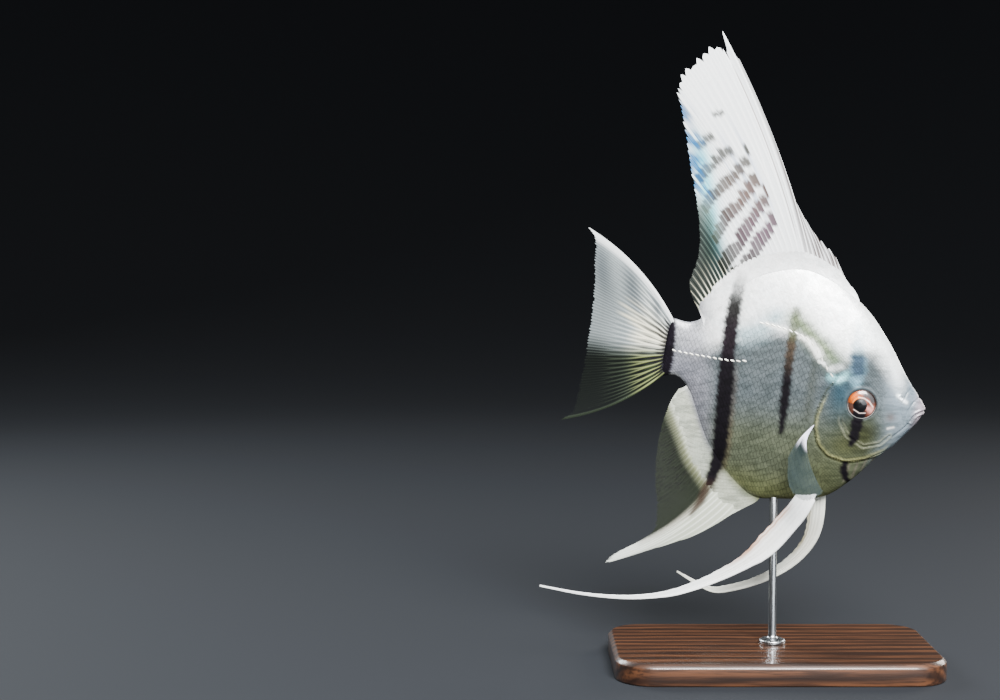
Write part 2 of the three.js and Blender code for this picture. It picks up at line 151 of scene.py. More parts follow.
# %% [markdown]
# ## The flesh
#
# An angelfish is a disc on edge: tall, thin, and keeled above and below. Its shape is one tube whose
# section changes from snout to tail. Four curves over the length say how high the back is, how deep
# the belly, how thick the body, and where it is thickest. They are the same curves that shaped the
# solids, so the skin fits inside them. The other way, sculpting, couldn't be fitted so exactly.

# %% The curves of the body
BACK_EDGE = over_root([
    [0, -0.6], [0.25, 0.5], [1, 1.5], [3.3, 4.1], [7.9, 9.3], [14.8, 18.4], [22.1, 26.2], [28.4, 30.8],
    [36, 35], [45, 37.2], [54, 35.4], [62, 31], [69, 23.2], [73.5, 16.4], [78, 13.5], [BODY_LENGTH, 13.7],
])
BELLY_EDGE = over_root([
    [0, -0.6], [0.25, -2], [1, -3.8], [4.3, -9.2], [8.1, -14.6], [12.8, -20], [18.9, -27.8], [25, -33.6],
    [32, -36.2], [40, -37.7], [47, -38.8], [52, -37], [59, -31.8], [66.5, -23.5], [71.4, -14.5],
    [75.5, -7.4], [79.5, -4.7], [BODY_LENGTH, -5.5],
])
HALF_WIDTH = over_root([
    [0, 0], [0.25, 1.1], [1, 1.9], [4, 3.1], [10, 4.5], [20, 6], [31, 6.8], [42, 6.4], [54, 5.2],
    [66, 3.7], [75, 2.5], [BODY_LENGTH, 1.5],
])
WIDEST_HEIGHT = through([[0, -0.6], [10, -2], [20, -3], [35, -3], [50, 0], [70, 3.6], [BODY_LENGTH, 4.2]])
BACK_SHARPNESS = through([[0, 0.5], [12, 0.6], [24, 0.68], [34, 0.8], [66, 0.85], [BODY_LENGTH, 0.6]])
BELLY_SHARPNESS = through([[0, 0.5], [18, 0.55], [44, 0.5], [54, 0.8], [70, 0.85], [BODY_LENGTH, 0.6]])
BACK_FULLNESS = 1.8
BELLY_FULLNESS = 2.2


def flesh(back, turn, grow=0.0):
    """The body at a distance behind the snout and a turn round its section, as back, left, height:
    the height goes as sin(turn) from the widest level to the edge, and the half thickness as
    (1 - share^fullness) to the power of the ridge's sharpness. grow moves it out all over."""
    back, turn = np.broadcast_arrays(np.asarray(back, float), np.asarray(turn, float))
    upper = np.sin(turn) >= 0
    share = np.abs(np.sin(turn))
    middle = WIDEST_HEIGHT(back)
    edge = np.where(upper, BACK_EDGE(back) + grow, BELLY_EDGE(back) - grow)
    full = 1 - share ** np.where(upper, BACK_FULLNESS, BELLY_FULLNESS)
    sharp = np.where(upper, BACK_SHARPNESS(back), BELLY_SHARPNESS(back))
    width = np.maximum(HALF_WIDTH(back) + grow, 0.05)
    left = np.sign(np.cos(turn)) * width * np.maximum(full, 0) ** sharp
    return back + grow * (2 * back / BODY_LENGTH - 1), left, middle + share * (edge - middle)


def flank(back, height):
    """How far out the flesh reaches at a place on its side."""
    upper = height > WIDEST_HEIGHT(back)
    edge = np.where(upper, BACK_EDGE(back), BELLY_EDGE(back))
    share = np.clip((height - WIDEST_HEIGHT(back)) / (edge - WIDEST_HEIGHT(back)), 0, 1)
    full = 1 - share ** np.where(upper, BACK_FULLNESS, BELLY_FULLNESS)
    return HALF_WIDTH(back) * full ** np.where(upper, BACK_SHARPNESS(back), BELLY_SHARPNESS(back))


lengthwise = np.linspace(0, BODY_LENGTH, 200)
print("deepest, mm:", round(float((BACK_EDGE(lengthwise) - BELLY_EDGE(lengthwise)).max()), 1))

# %% [markdown]
# ## From arrays to meshes
#
# Each piece is one or more grids of points. The numbers go into the mesh in one call, together with
# a colour and other values at each point, which the material reads later. A piece is always a
# closed solid, as a real thing has an inside: tubes end in a pole, and a thin fin is two sheets
# joined round their rim.

# %% Mesh helpers
def quads_of(rows, columns, wrap=False):
    """The quads of a rows x columns grid of points, closed round along the columns if wrap."""
    i, j = np.meshgrid(np.arange(rows - 1), np.arange(columns if wrap else columns - 1), indexing="ij")
    k = (j + 1) % columns
    this, after = i * columns, (i + 1) * columns
    return np.stack([this + j, this + k, after + k, after + j], -1).reshape(-1, 4)


def fan_of(ring, pole):
    """Triangles from each step of a ring of point numbers to one pole."""
    return np.stack([ring, np.roll(ring, -1), np.full(len(ring), pole)], -1)


def closed_tube(rows, columns):
    """The quads of a tube of rings, and the triangles that close it at two poles. The poles'
    numbers come after those of the rings' points: the first ring's pole, then the last one's."""
    ring = np.arange(columns)
    first, last = rows * columns, rows * columns + 1
    caps = np.concatenate([fan_of(ring[::-1], first), fan_of(ring + (rows - 1) * columns, last)])
    return quads_of(rows, columns, wrap=True), caps


def closed_sheet(near, far):
    """Points and quads of two like grids joined all round their rims into one closed sheet."""
    rows, columns = near.shape[:2]
    count = rows * columns
    rim = rim_of(rows, columns)
    step = np.roll(rim, -1)
    faces = quads_of(rows, columns)
    wall = np.stack([rim, step, step + count, rim + count], -1)
    points = np.concatenate([near.reshape(-1, 3), far.reshape(-1, 3)])
    return points, np.concatenate([faces, faces[:, ::-1] + count, wall[:, ::-1]])


def rim_of(rows, columns):
    """The point numbers round the rim of a grid."""
    number = np.arange(rows * columns).reshape(rows, columns)
    return np.concatenate([number[0, :-1], number[:-1, -1], number[-1, :0:-1], number[:0:-1, 0]])


def put_mesh(name, points, quads, triangles=None, colour=None, values=None, uv=None, crisp=False):
    """Makes a mesh object from world points and faces, with a colour, float values and a place on
    the OFBake map at each point. If the faces enclose a negative volume they are all turned. All
    are shaded smooth, but over the folds of a crisp piece the shading breaks."""
    triangles = np.zeros((0, 3), int) if triangles is None else triangles
    a, b, c, d = (points[quads[:, k]] for k in range(4))
    e, f, g = (points[triangles[:, k]] for k in range(3))
    volume = np.sum(a * np.cross(b, c)) + np.sum(a * np.cross(c, d)) + np.sum(e * np.cross(f, g))
    if volume < 0:
        quads, triangles = quads[:, ::-1], triangles[:, ::-1]
    corners = np.concatenate([quads.ravel(), triangles.ravel()]).astype(np.int32)
    sizes = np.concatenate([np.full(len(quads), 4), np.full(len(triangles), 3)]).astype(np.int32)
    mesh = bpy.data.meshes.new(name)
    mesh.vertices.add(len(points))
    mesh.vertices.foreach_set("co", points.astype(np.float32).ravel())
    mesh.loops.add(len(corners))
    mesh.loops.foreach_set("vertex_index", corners)
    mesh.polygons.add(len(sizes))
    mesh.polygons.foreach_set("loop_start", np.concatenate([[0], np.cumsum(sizes)[:-1]]).astype(np.int32))
    mesh.polygons.foreach_set("use_smooth", np.ones(len(sizes), bool))
    mesh.update(calc_edges=True)
    if crisp:
        mesh.set_sharp_from_angle(angle=1.0)
    if colour is not None:
        layer = mesh.attributes.new("paint", "FLOAT_COLOR", "POINT")
        full = np.ones((len(points), 4), np.float32)
        full[:, :3] = colour.reshape(-1, 3)
        layer.data.foreach_set("color", full.ravel())
    for key, value in (values or {}).items():
        layer = mesh.attributes.new(key, "FLOAT", "POINT")
        layer.data.foreach_set("value", np.asarray(value, np.float32).ravel())
    if uv is not None:
        layer = mesh.uv_layers.new(name="OFBake")
        layer.uv.foreach_set("vector", uv.reshape(-1, 2)[corners].astype(np.float32).ravel())
    piece = bpy.data.objects.new(name, mesh)
    bpy.context.scene.collection.objects.link(piece)
    print(f"{name}: {int(sizes.sum() - 2 * len(sizes))} triangles")
    return piece


def finish_piece(piece, material, slot, *nodes):
    """Gives a piece its material and body, and hides the solids that it stands for. slot is not used."""
    piece.data.materials.append(material)
    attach(piece, "root")
    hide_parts(*nodes)
    return piece


# %% [markdown]
# ## Colours and materials
#
# The paint on a museum fish is laid on by place: silver here, a black bar there. So colour is worked
# out by number from the place on the fish, once, and every piece that covers that place carries the
# same paint. The materials then add what paint alone lacks: grain, gloss and pearl.

# %% Colour and node helpers
def rgb(red, green, blue):
    """A screen colour, 0 to 255, as linear light."""
    share = np.array([red, green, blue]) / 255
    return np.where(share <= 0.04045, share / 12.92, ((share + 0.055) / 1.055) ** 2.4)


def mixed(under, over, share):
    """The colour under, covered by the colour over to a share at each place."""
    share = np.asarray(share)[..., None]
    return under * (1 - share) + over * share


def node(tree, kind, inputs=None, **settings):
    """A shader node with its settings, and its inputs given as values or linked to other outputs."""
    made = tree.nodes.new(kind)
    for key, value in settings.items():
        setattr(made, key, value)
    for key, value in (inputs or {}).items():
        if isinstance(value, bpy.types.NodeSocket):
            tree.links.new(value, made.inputs[key])
        else:
            made.inputs[key].default_value = value
    return made


def new_material(name, **settings):
    """A material and its Principled shader. Setting names are socket names with _ for spaces."""
    material = bpy.data.materials.new(name)
    material.use_nodes = True
    shader = material.node_tree.nodes["Principled BSDF"]
    for key, value in settings.items():
        shader.inputs[key.replace("_", " ").title().replace("Ior", "IOR")].default_value = value
    return material, material.node_tree, shader


def noise(tree, scale, detail=3.0, roughness=0.5, stretch=(1, 1, 1), distortion=0.0):
    """Noise in object space, with scale in waves per metre, stretched along the axes."""
    coordinates = node(tree, "ShaderNodeTexCoord").outputs["Object"]
    mapping = node(tree, "ShaderNodeMapping", {"Vector": coordinates, "Scale": stretch})
    inputs = {"Vector": mapping.outputs[0], "Scale": scale, "Detail": detail}
    inputs |= {"Roughness": roughness, "Distortion": distortion}
    return node(tree, "ShaderNodeTexNoise", inputs).outputs["Fac"]


def mapped(tree, value, low, high, to_low=0.0, to_high=1.0):
    """A value from low to high made a value from to_low to to_high, smoothly."""
    inputs = {"Value": value, "From Min": low, "From Max": high, "To Min": to_low, "To Max": to_high}
    return node(tree, "ShaderNodeMapRange", inputs, interpolation_type="SMOOTHSTEP").outputs["Result"]


def maths(tree, how, a, b, **settings):
    """Two values added or multiplied."""
    return node(tree, "ShaderNodeMath", {0: a, 1: b}, operation=how, **settings).outputs[0]


def stored(tree, name, output="Fac"):
    """A value or a colour that the mesh carries at each point."""
    return node(tree, "ShaderNodeAttribute", attribute_name=name).outputs[output]


def mix(tree, factor, a, b, how="MIX"):
    """Two colours mixed by a factor."""
    made = node(tree, "ShaderNodeMix", {0: factor}, data_type="RGBA", blend_type=how)
    for index, value in ((6, a), (7, b)):
        if isinstance(value, bpy.types.NodeSocket):
            tree.links.new(value, made.inputs[index])
        else:
            made.inputs[index].default_value = (*value, 1)
    return made.outputs[2]


def bump(tree, height, distance, strength=1.0, normal=None):
    """A bump of a given depth in metres."""
    inputs = {"Height": height, "Distance": distance, "Strength": strength}
    if normal is not None:
        inputs["Normal"] = normal
    return node(tree, "ShaderNodeBump", inputs).outputs["Normal"]


# %% [markdown]
# ## The lines of the head
#
# A fish's face is made of plates. The gill cover is the largest: it lies over the gills like a
# shingle, with a free edge behind and below. In front of it a bent bone, the preopercle, frames the
# cheek. The lips close a small mouth that can shoot forward. Each of these is a line on the side
# of the head, so the relief of the skin is a sum of grooves, ridges and steps about those lines.

# %% Measured lines and places of the head
EYE_BACK = 20.0
EYE_HEIGHT = -2.2
EYE_RADIUS = 4.75
GILL_MARGIN = np.array([
    [29.4, 8.6], [28.7, 4.2], [31.2, 0], [32.3, -3.7], [33.1, -8], [33, -12], [31, -17.2], [27.2, -20.3],
    [21.6, -21.2], [15.6, -19.3], [10, -15.6], [7.8, -12.4],
])
GILL_MIDDLE = np.array([19.0, -6.0])
PREOPERCLE = [[26, 3.4], [26.4, -3], [25.4, -8.6], [22.4, -12.8], [17, -15.3], [12.2, -13.6], [9.6, -10.6]]
MOUTH = [[-1, -0.7], [0.3, -0.95], [1.4, -1.5], [2.7, -2.4], [3.6, -3.6], [4.1, -5]]
LIP_FOLD = [[2.2, 3.4], [4.2, 1.2], [5.4, -1.6], [5.5, -4.4], [4.9, -6]]
SNOUT_FOLD = [[5.2, 6], [6.8, 3.6], [7.6, 0.6], [7.4, -3], [6.2, -6.4]]
JAW_FOLD = [[4.4, -5.8], [6.2, -8.2], [8.6, -10.8]]
NOSTRIL = (8.3, 2.0)
BRANCHIAL_RAYS = [
    [[20.2, -22.2], [20.9, -27.6]], [[17.7, -21.2], [18.5, -26]], [[15.2, -19.8], [16, -23]],
    [[12.8, -18.2], [13.4, -20.4]],
]


def from_gill_margin(back, height):
    """The distance inside the gill cover's free edge, negative outside it, and how far round the
    edge is real: 1 along it, fading to 0 past both its ends."""
    around = np.arctan2(height - GILL_MIDDLE[1], back - GILL_MIDDLE[0])
    margin = GILL_MARGIN - GILL_MIDDLE
    angles = np.arctan2(margin[:, 1], margin[:, 0])
    order = np.argsort(angles)
    radius = np.interp(around, angles[order], np.hypot(*margin.T)[order])
    inside = np.hypot(back - GILL_MIDDLE[0], height - GILL_MIDDLE[1]) < radius
    first, last = angles.min(), angles.max()
    real = rise(around, first, first + 0.5) * (1 - rise(around, last - 0.28, last))
    return from_line(back, height, GILL_MARGIN) * np.where(inside, 1, -1), real


def relief(back, height):
    """How far the skin stands out from the smooth flesh, in mm, at a place on the side."""
    gill, real = from_gill_margin(back, height)
    cover_edge = 0.42 * rise(gill, -0.1, 0.3) * np.exp(-np.maximum(gill, 0) / 9)
    out = real * (cover_edge - 0.3 * hump(gill + 0.45, 0.3))
    cheek = from_line(back, height, PREOPERCLE)
    out += 0.13 * hump(cheek - 0.6, 0.5) - 0.2 * hump(cheek, 0.3)
    eye = np.hypot(back - EYE_BACK, height - EYE_HEIGHT)
    out += 0.16 * hump(eye - 5.1, 0.5) - 0.3 * hump(eye - 4.45, 0.35) - 0.08 * hump(eye - 6.1, 0.5)
    mouth = from_line(back, height, MOUTH)
    near = 1 - rise(back, 3.4, 5.2)
    out += 0.26 * hump(mouth - 0.62, 0.36) * near - 0.5 * hump(mouth, 0.24)
    out += -0.2 * hump(from_line(back, height, LIP_FOLD), 0.3)
    out += -0.14 * hump(from_line(back, height, SNOUT_FOLD), 0.32)
    out += -0.26 * hump(from_line(back, height, JAW_FOLD), 0.34)
    nostril = np.hypot(back - NOSTRIL[0], height - NOSTRIL[1])
    out += 0.16 * hump(nostril - 0.7, 0.28) - 0.5 * hump(nostril, 0.4)
    for ray in BRANCHIAL_RAYS:
        out += -0.16 * hump(from_line(back, height, ray), 0.34)
    round_eye = np.arctan2(height - EYE_HEIGHT, back - EYE_BACK)
    pores = hump(eye - 6.6, 0.26) * hump(np.sin(3.5 * round_eye), 0.24) * (round_eye < 0.4)
    out += -0.16 * pores + 0.2 * hump(np.hypot(back - 15, height + 9.5), 4)
    return out * rise(back, -0.2, 0.6)


# %% [markdown]
# ## Where the paint goes
#
# The angelfish hides among reeds, so it wears upright black bars: one through the eye, a short one
# behind the gill cover, a long one from the back fin to the belly fin, and one on the tail stalk.
# Between them it is pearl above and silver below, with olive on the cheek and breast. The pearl is
# partly painted light from above, the glints on the side and head are painted highlights, and the
# dark in the gill slit and round the eye is painted shade. Each mark is a line with a width that
# changes along it, and one function gives the colour at any place.

# %% The markings
PEARL_AND_PAINTED_LIGHT = rgb(251, 252, 252)
SILVER_BLUE = rgb(80, 87, 90)
SILVER_OLIVE = rgb(76, 81, 66)
BELLY_CREAM = rgb(92, 96, 64)
STALK_SILVER = rgb(134, 134, 144)
LILAC = rgb(118, 131, 142)
OLIVE = rgb(60, 62, 26)
CHEEK_OLIVE = rgb(48, 51, 29)
BREAST_OLIVE = rgb(64, 68, 44)
FOREHEAD_AND_PAINTED_LIGHT = rgb(244, 248, 248)
OPERCLE_BLUE = rgb(28, 57, 70)
SLATE = rgb(54, 72, 88)
BAR_BLACK = rgb(13, 10, 15)
BAR_GREY_AND_PAINTED_LIGHT = rgb(44, 44, 43)
BAR_PURPLE = rgb(30, 22, 28)
BAR_BROWN = rgb(74, 50, 34)
CYAN_GLINT = rgb(150, 214, 222)
LIP_PINK = rgb(168, 146, 152)
EYE_BAR = [[26, 24, 0.6], [24.6, 16, 1.7], [23.7, 12.6, 2.4], [22.9, 8, 2.3], [23, 4.5, 1.5]]
UNDER_EYE = [[20.3, -5.5, 1.8], [20.2, -9, 1.75], [20.3, -12.5, 1.6], [20.7, -15, 1.0]]
MID_BAR = [[45.3, 23, 1.2], [45.1, 18, 1.5], [44.6, 7, 1.4], [43.6, -6, 1.6], [42.9, -15.8, 0.8]]
MAIN_BAR = [
    [64.4, 31, 1.9], [64.8, 24, 2.1], [64.7, 16, 2.4], [64, 5, 2.3], [63.1, -3, 2.7], [62.1, -14, 2.5],
    [61.2, -25, 2.4], [61.4, -30, 2.2], [62.4, -36, 1.8], [64, -43, 1.3], [66.5, -48, 0.6],
]
TAIL_BAR = [[84.6, 14, 1.2], [83.8, 10.8, 1.9], [83.2, 5.5, 2.1], [82.8, -0.4, 2], [82.6, -5, 1.5]]
DUSKY_BAR = [[36.6, 8, 0.6], [36.2, 2, 1.4], [36, -5, 1.5], [35.6, -10, 0.6]]
BREAST_PATCH = [[21.6, -21.8, 1], [21.3, -25, 1.2], [19.4, -27.6, 0.7]]


def mark(back, height, line, soft=0.45):
    """1 inside a mark drawn as [back, height, half width] points, 0 outside, with a soft edge."""
    amount = np.zeros(np.shape(back))
    for (a, b, w), (c, d, v) in zip(line[:-1], line[1:]):
        run, climb = c - a, d - b
        t = np.clip(((back - a) * run + (height - b) * climb) / (run**2 + climb**2), 0, 1)
        away = np.hypot(back - a - t * run, height - b - t * climb) - (w + t * (v - w))
        amount = np.maximum(amount, 1 - rise(away, -soft, soft))
    return amount


def near_line(back, height, line, width):
    """A bell of height 1 on a line of [back, height] points."""
    return hump(from_line(back, height, line), width)


def spot(back, height, at, width, squash=(1, 1)):
    """A bell of height 1 at one place, narrower each way by the squash."""
    return hump(np.hypot((back - at[0]) * squash[0], (height - at[1]) * squash[1]), width)


def trunk_paint(back, height):
    """Cream and silver below, pearl above, partly painted light from above, with the arch of the
    lateral line and a few glints painted white as highlights.
    """
    colour = mixed(BELLY_CREAM, SILVER_OLIVE, rise(height, -37, -26))
    colour = mixed(colour, SILVER_BLUE, rise(height + 0.15 * (back - 50), -20, -4))
    pearl_from = np.interp(back, [0, 22, 30, 42, 52, 62, 74], [30, 14, 8, 17, 16, 12, 4])
    # Pearl over the upper body: partly the fish's pale silver, partly painted light falling from above.
    colour = mixed(colour, PEARL_AND_PAINTED_LIGHT, rise(height - pearl_from, -4.5, 3.5))
    haze = near_line(back, height, [[60, 13], [55.5, 15], [51, 20]], 3.2)
    colour = mixed(colour, rgb(160, 190, 200), haze * 0.8)
    green = near_line(back, height, [[45, 20.5], [40, 17], [35.5, 13.9], [30.5, 10]], 3.1)
    colour = mixed(colour, rgb(96, 114, 76), green * 0.92)
    # The lateral line's arch is painted as a near-white band: a painted highlight.
    arch = [[54, 17.4], [45.6, 16.2], [41, 14.9], [38.5, 13.6], [35.8, 10.9]]
    arch = near_line(back, height, arch, 0.75 + 0.55 * rise(-back, -42, -37))
    colour = mixed(colour, rgb(255, 255, 250), arch * 0.97)
    # White patches behind the gill cover: painted glints, that is, painted highlights.
    glints = mark(back, height, [[35.4, 8.8, 0.4], [33.4, 8.2, 0.5]], 0.5)
    glints += mark(back, height, [[31.2, 7, 1], [28.3, 8.4, 0.8]], 0.8)
    colour = mixed(colour, rgb(250, 253, 250), np.clip(glints, 0, 1) * 0.9)
    colour = mixed(colour, STALK_SILVER, 0.85 * rise(back - 0.2 * height, 65, 74))
    beyond = rise(BELLY_EDGE(back) - height, -2, 3) * rise(back, 45, 48)
    return mixed(colour, rgb(176, 180, 164), beyond * 0.9)


def head_paint(colour, back, height):
    """The head's own tints over the trunk's, the forehead partly painted light from above, painted
    glints on the gill cover, snout and chin, then the lines of its plates, with painted shade in the
    gill slit and a dark ring of painted shade round the eye.
    """
    in_head = 1 - rise(back - 0.1 * height, 27, 35)
    colour = mixed(colour, LILAC, in_head * (1 - rise(back, 9, 17)) * 0.9)
    colour = mixed(colour, OPERCLE_BLUE, in_head * spot(back, height, (28, 0.5), 8, (1, 0.8)) * 0.85)
    colour = mixed(colour, CHEEK_OLIVE, spot(back, height, (18, -11.5), 8.5, (1, 1.1)) * 0.9)
    colour = mixed(colour, OLIVE, spot(back, height, (24, -17), 4.5, (0.8, 1)) * 0.45)
    # The top of the forehead is lighter: its pale tint is partly painted light from above.
    brow = rise(height - 1.05 * back, -10, 1) * (1 - rise(back, 22, 30))
    colour = mixed(colour, FOREHEAD_AND_PAINTED_LIGHT, brow * rise(back, 6, 11))
    colour = mixed(colour, BREAST_OLIVE, spot(back, height, (27, -27), 7, (0.7, 1)) * 0.75)
    colour = mixed(colour, LIP_PINK, (1 - rise(back, 1.5, 5)) * 0.6)
    colour = mixed(colour, BAR_BROWN, spot(back, height, (10.3, -4.6), 1.5) * 0.55)
    # A cyan streak over the gill cover, a white one on the snout and one on the chin: painted glints.
    colour = mixed(colour, CYAN_GLINT, near_line(back, height, [[26.3, 6], [28.4, 4.2], [31, 4.6]], 1.1) * 0.85)
    snout_glint = near_line(back, height, [[9.4, 2.6], [8, 1.5], [6.4, 0.8]], 0.55)
    colour = mixed(colour, rgb(246, 253, 255), snout_glint * 0.9)
    chin = near_line(back, height, [[10.6, -8.3], [8.9, -7.6]], 0.35)
    colour = mixed(colour, rgb(240, 240, 236), chin * 0.8)
    gill, real = from_gill_margin(back, height)
    low = real * rise(-height, -1, 6)
    colour = mixed(colour, rgb(170, 168, 112), low * hump(gill - 0.5, 0.42) * 0.42)
    # A dark line just outside the gill cover's free edge: painted shade in the slit under it.
    colour = mixed(colour, OLIVE * 0.7, real * hump(gill + 0.4, 0.4) * 0.55)
    arc = from_line(back, height, PREOPERCLE)
    colour = mixed(colour, rgb(176, 178, 150), hump(arc - 0.6, 0.32) * 0.22 * rise(-height, 6, 11))
    for ray in BRANCHIAL_RAYS:
        colour = mixed(colour, rgb(96, 92, 80), near_line(back, height, ray, 0.4) * 0.7)
    eye = np.hypot(back - EYE_BACK, height - EYE_HEIGHT)
    # A dark ring where the eye meets its socket, heavier above: painted shade.
    return mixed(colour, rgb(58, 64, 66), hump(eye - 4.75, 0.4) * (0.55 + 0.35 * rise(height, -3, 2)))


def bar_paint(colour, back, height):
    """The bars and dark patches over all. Sines of the height make their edges uneven."""
    wavy = back + 0.2 * np.sin(1.7 * height + 0.6 * back) + 0.14 * np.sin(4.1 * height - 2 * back)
    ragged = back + 0.22 * np.sin(4.3 * height) * np.sin(1.3 * height) + 0.16 * np.sin(7.7 * height + 1)
    upper_bar = mark(wavy, height, EYE_BAR, 1.3)
    colour = mixed(colour, rgb(120, 164, 182), upper_bar * (0.3 + 0.45 * rise(-height, -20, -10)))
    colour = mixed(colour, SLATE, upper_bar * rise(height, 4.5, 7.5) * (1 - rise(height, 12, 15)))
    colour = mixed(colour, rgb(52, 54, 42), mark(wavy, height, DUSKY_BAR, 1.5) * 0.5)
    colour = mixed(colour, BAR_BLACK, mark(wavy, height, UNDER_EYE, 0.6))
    colour = mixed(colour, BAR_BLACK, mark(wavy, height, BREAST_PATCH, 0.6))
    faded = mixed(rgb(64, 54, 44), rgb(96, 104, 78), rise(height, 12, 18))
    mid = mixed(BAR_BLACK, faded, rise(height, 0, 13))
    colour = mixed(colour, mid, mark(wavy, height, MID_BAR, 0.8) * (1 - 0.35 * rise(height, 14, 22)))
    fringe = mark(wavy + 1.2, height, MAIN_BAR, 1.0)
    colour = mixed(colour, BAR_BROWN, fringe * 0.35 * rise(-height, -8, 4))
    main = mixed(BAR_BLACK, BAR_PURPLE, rise(height, 2, 9) * 0.85)
    # The bar turns grey higher up: partly painted light from above washing out the black.
    main = mixed(main, BAR_GREY_AND_PAINTED_LIGHT, rise(height, 12, 22) * 0.9)
    main = mixed(main, BAR_BROWN, rise(-height, 34, 44) * 0.75)
    colour = mixed(colour, main, mark(wavy, height, MAIN_BAR, 0.85) * (1 - rise(height, 21, 35)))
    colour = mixed(colour, rgb(14, 10, 18), mark(ragged, height, TAIL_BAR, 0.8))
    return mixed(colour, BAR_BLACK, spot(back, height, (25.2, -8.2), 0.35) * 0.8)


def paint(back, height):
    """The colour of skin and scales at a place on the side of the fish."""
    return bar_paint(head_paint(trunk_paint(back, height), back, height), back, height)


print("paint at the middle of the flank:", paint(np.array(50.0), np.array(0.0)).round(3))

# %% [markdown]
# ## The skin
#
# One closed skin covers the head, the jaws, the gill covers, the trunk and the tail stalk, so no
# seam shows. It lies a coat's depth inside the solids, to leave room for the scales. Its stations
# crowd towards the head, where the fine lines are. Behind the flesh it narrows to a thin tongue, as
# the flesh of a real fish does over the roots of the tail rays.

# %% Build the skin
COAT = 0.2
TONGUE = 1.2
TONGUE_HEIGHT = 4.2


def skin_at(back, turn, lift=0.0, carved=True):
    """World-frame points of the skin: the flesh drawn in by the coat, moved out along its own slope
    by the relief and the lift. The slope is a cross product of two small differences."""
    step = 1e-3

    def bare(b, t):
        """The flesh drawn in by the coat, narrowed past its end into the tongue."""
        moved, left, height = flesh(b, t, -COAT)
        past = np.clip((b - BODY_LENGTH) / TONGUE, 0, 0.999)
        lower = TONGUE_HEIGHT + (height - TONGUE_HEIGHT) * (1 - 0.12 * past**2)
        return place(moved, left * np.sqrt(1 - past**2), lower)

    here = bare(back, turn)
    lengthways = bare(back + step, turn) - bare(back - step, turn)
    around = bare(back, turn + step) - bare(back, turn - step)
    out = np.cross(lengthways, around)
    long = np.linalg.norm(out, axis=-1, keepdims=True)
    edgewise = np.zeros_like(out)
    edgewise[..., 2] = np.sign(np.sin(turn))
    out = np.where(long > 1e-12, out / np.maximum(long, 1e-12), edgewise)
    amount = lift + (relief(-here[..., 0], here[..., 2]) if carved else 0)
    return here + out * np.asarray(amount)[..., None]


head_stations = 0.02 + 35 * np.linspace(0, 1, 190) ** 1.35
trunk_stations = np.linspace(35.4, BODY_LENGTH, 92)
tongue_stations = BODY_LENGTH + TONGUE * np.sin(np.linspace(0.15, 1.5, 9))
stations = np.concatenate([head_stations, trunk_stations, tongue_stations])
even = np.arange(320) / 320 * 2 * np.pi
turns = even - 0.2 * np.sin(2 * even)
skin_points = skin_at(*np.meshgrid(stations, turns, indexing="ij"))
poles = np.stack([skin_points[0].mean(0), skin_points[-1].mean(0)])
skin_flat = np.concatenate([skin_points.reshape(-1, 3), poles])
skin_paint = paint(-skin_flat[:, 0], skin_flat[:, 2])
skin = put_mesh("skin", to_world(skin_flat), *closed_tube(*skin_points.shape[:2]), skin_paint)

# %% [markdown]
# ## Silver and pearl
#
# A fish shines because its skin holds thin plates of crystal under a clear layer. The material
# says that in three parts: the paint, broken up by a fine grain, streaks and soft clouds; a little
# metal where the paint is light; and a clear coat like the model maker's varnish. The same material
# serves skin and scales. Each scale is a little darker at its rim and has a shade of its own,
# through two values that only the scales carry.

# %% The skin's material
skin_material, tree, shader = new_material("painted_skin", coat_roughness=0.2, specular_ior_level=0.08)
painted = stored(tree, "paint", "Color")
brightness = node(tree, "ShaderNodeRGBToBW", {"Color": painted}).outputs[0]
greyness = mapped(tree, brightness, 0.3, 0.85, 1.0, 0.3)
rim_dark = maths(tree, "MULTIPLY", mapped(tree, stored(tree, "rim"), 0.74, 1.0), greyness)
colour = mix(tree, mapped(tree, rim_dark, 0, 1, 0, 0.5), painted, rgb(104, 106, 100), "MULTIPLY")
grains = noise(tree, 1500, 4, 0.6)
colour = mix(tree, mapped(tree, grains, 0.35, 0.7, 0, 0.16), colour, rgb(120, 118, 108), "MULTIPLY")
streaks = mapped(tree, noise(tree, 520, 3, 0.6, (0.22, 1, 1)), 0.42, 0.62)
streaks = maths(tree, "MULTIPLY", streaks, greyness)
colour = mix(tree, mapped(tree, streaks, 0, 1, 0, 0.5), colour, rgb(176, 180, 178), "MULTIPLY")
clouds = noise(tree, 130, 3, 0.5)
colour = mix(tree, mapped(tree, clouds, 0.4, 0.7, 0, 0.2), colour, rgb(214, 226, 236), "MULTIPLY")
own_shade = mapped(tree, stored(tree, "shade"), 0, 1, 0, 0.28)
colour = mix(tree, own_shade, colour, rgb(160, 164, 160), "MULTIPLY")
tree.links.new(colour, shader.inputs["Base Color"])
tree.links.new(mapped(tree, brightness, 0.05, 0.5, 0.0, 0.3), shader.inputs["Metallic"])
soft_black = mapped(tree, brightness, 0.0, 0.16, 0.4, 0.0)
patchy = mapped(tree, noise(tree, 420, 3), 0.3, 0.7, 0.33, 0.47)
tree.links.new(maths(tree, "ADD", patchy, soft_black), shader.inputs["Roughness"])
tree.links.new(mapped(tree, brightness, 0.01, 0.3, 0.0, 0.5), shader.inputs["Coat Weight"])
grain = bump(tree, noise(tree, 2600, 3, 0.6), 0.00006, 0.5)
tree.links.new(bump(tree, noise(tree, 700, 2), 0.00012, 0.4, grain), shader.inputs["Normal"])
SKIN_NODES = ["head", "upper_jaw", "lower_jaw", "gill_cover_right", "gill_cover_left", "trunk", "tail_stalk"]
finish_piece(skin, skin_material, "skin", *SKIN_NODES)

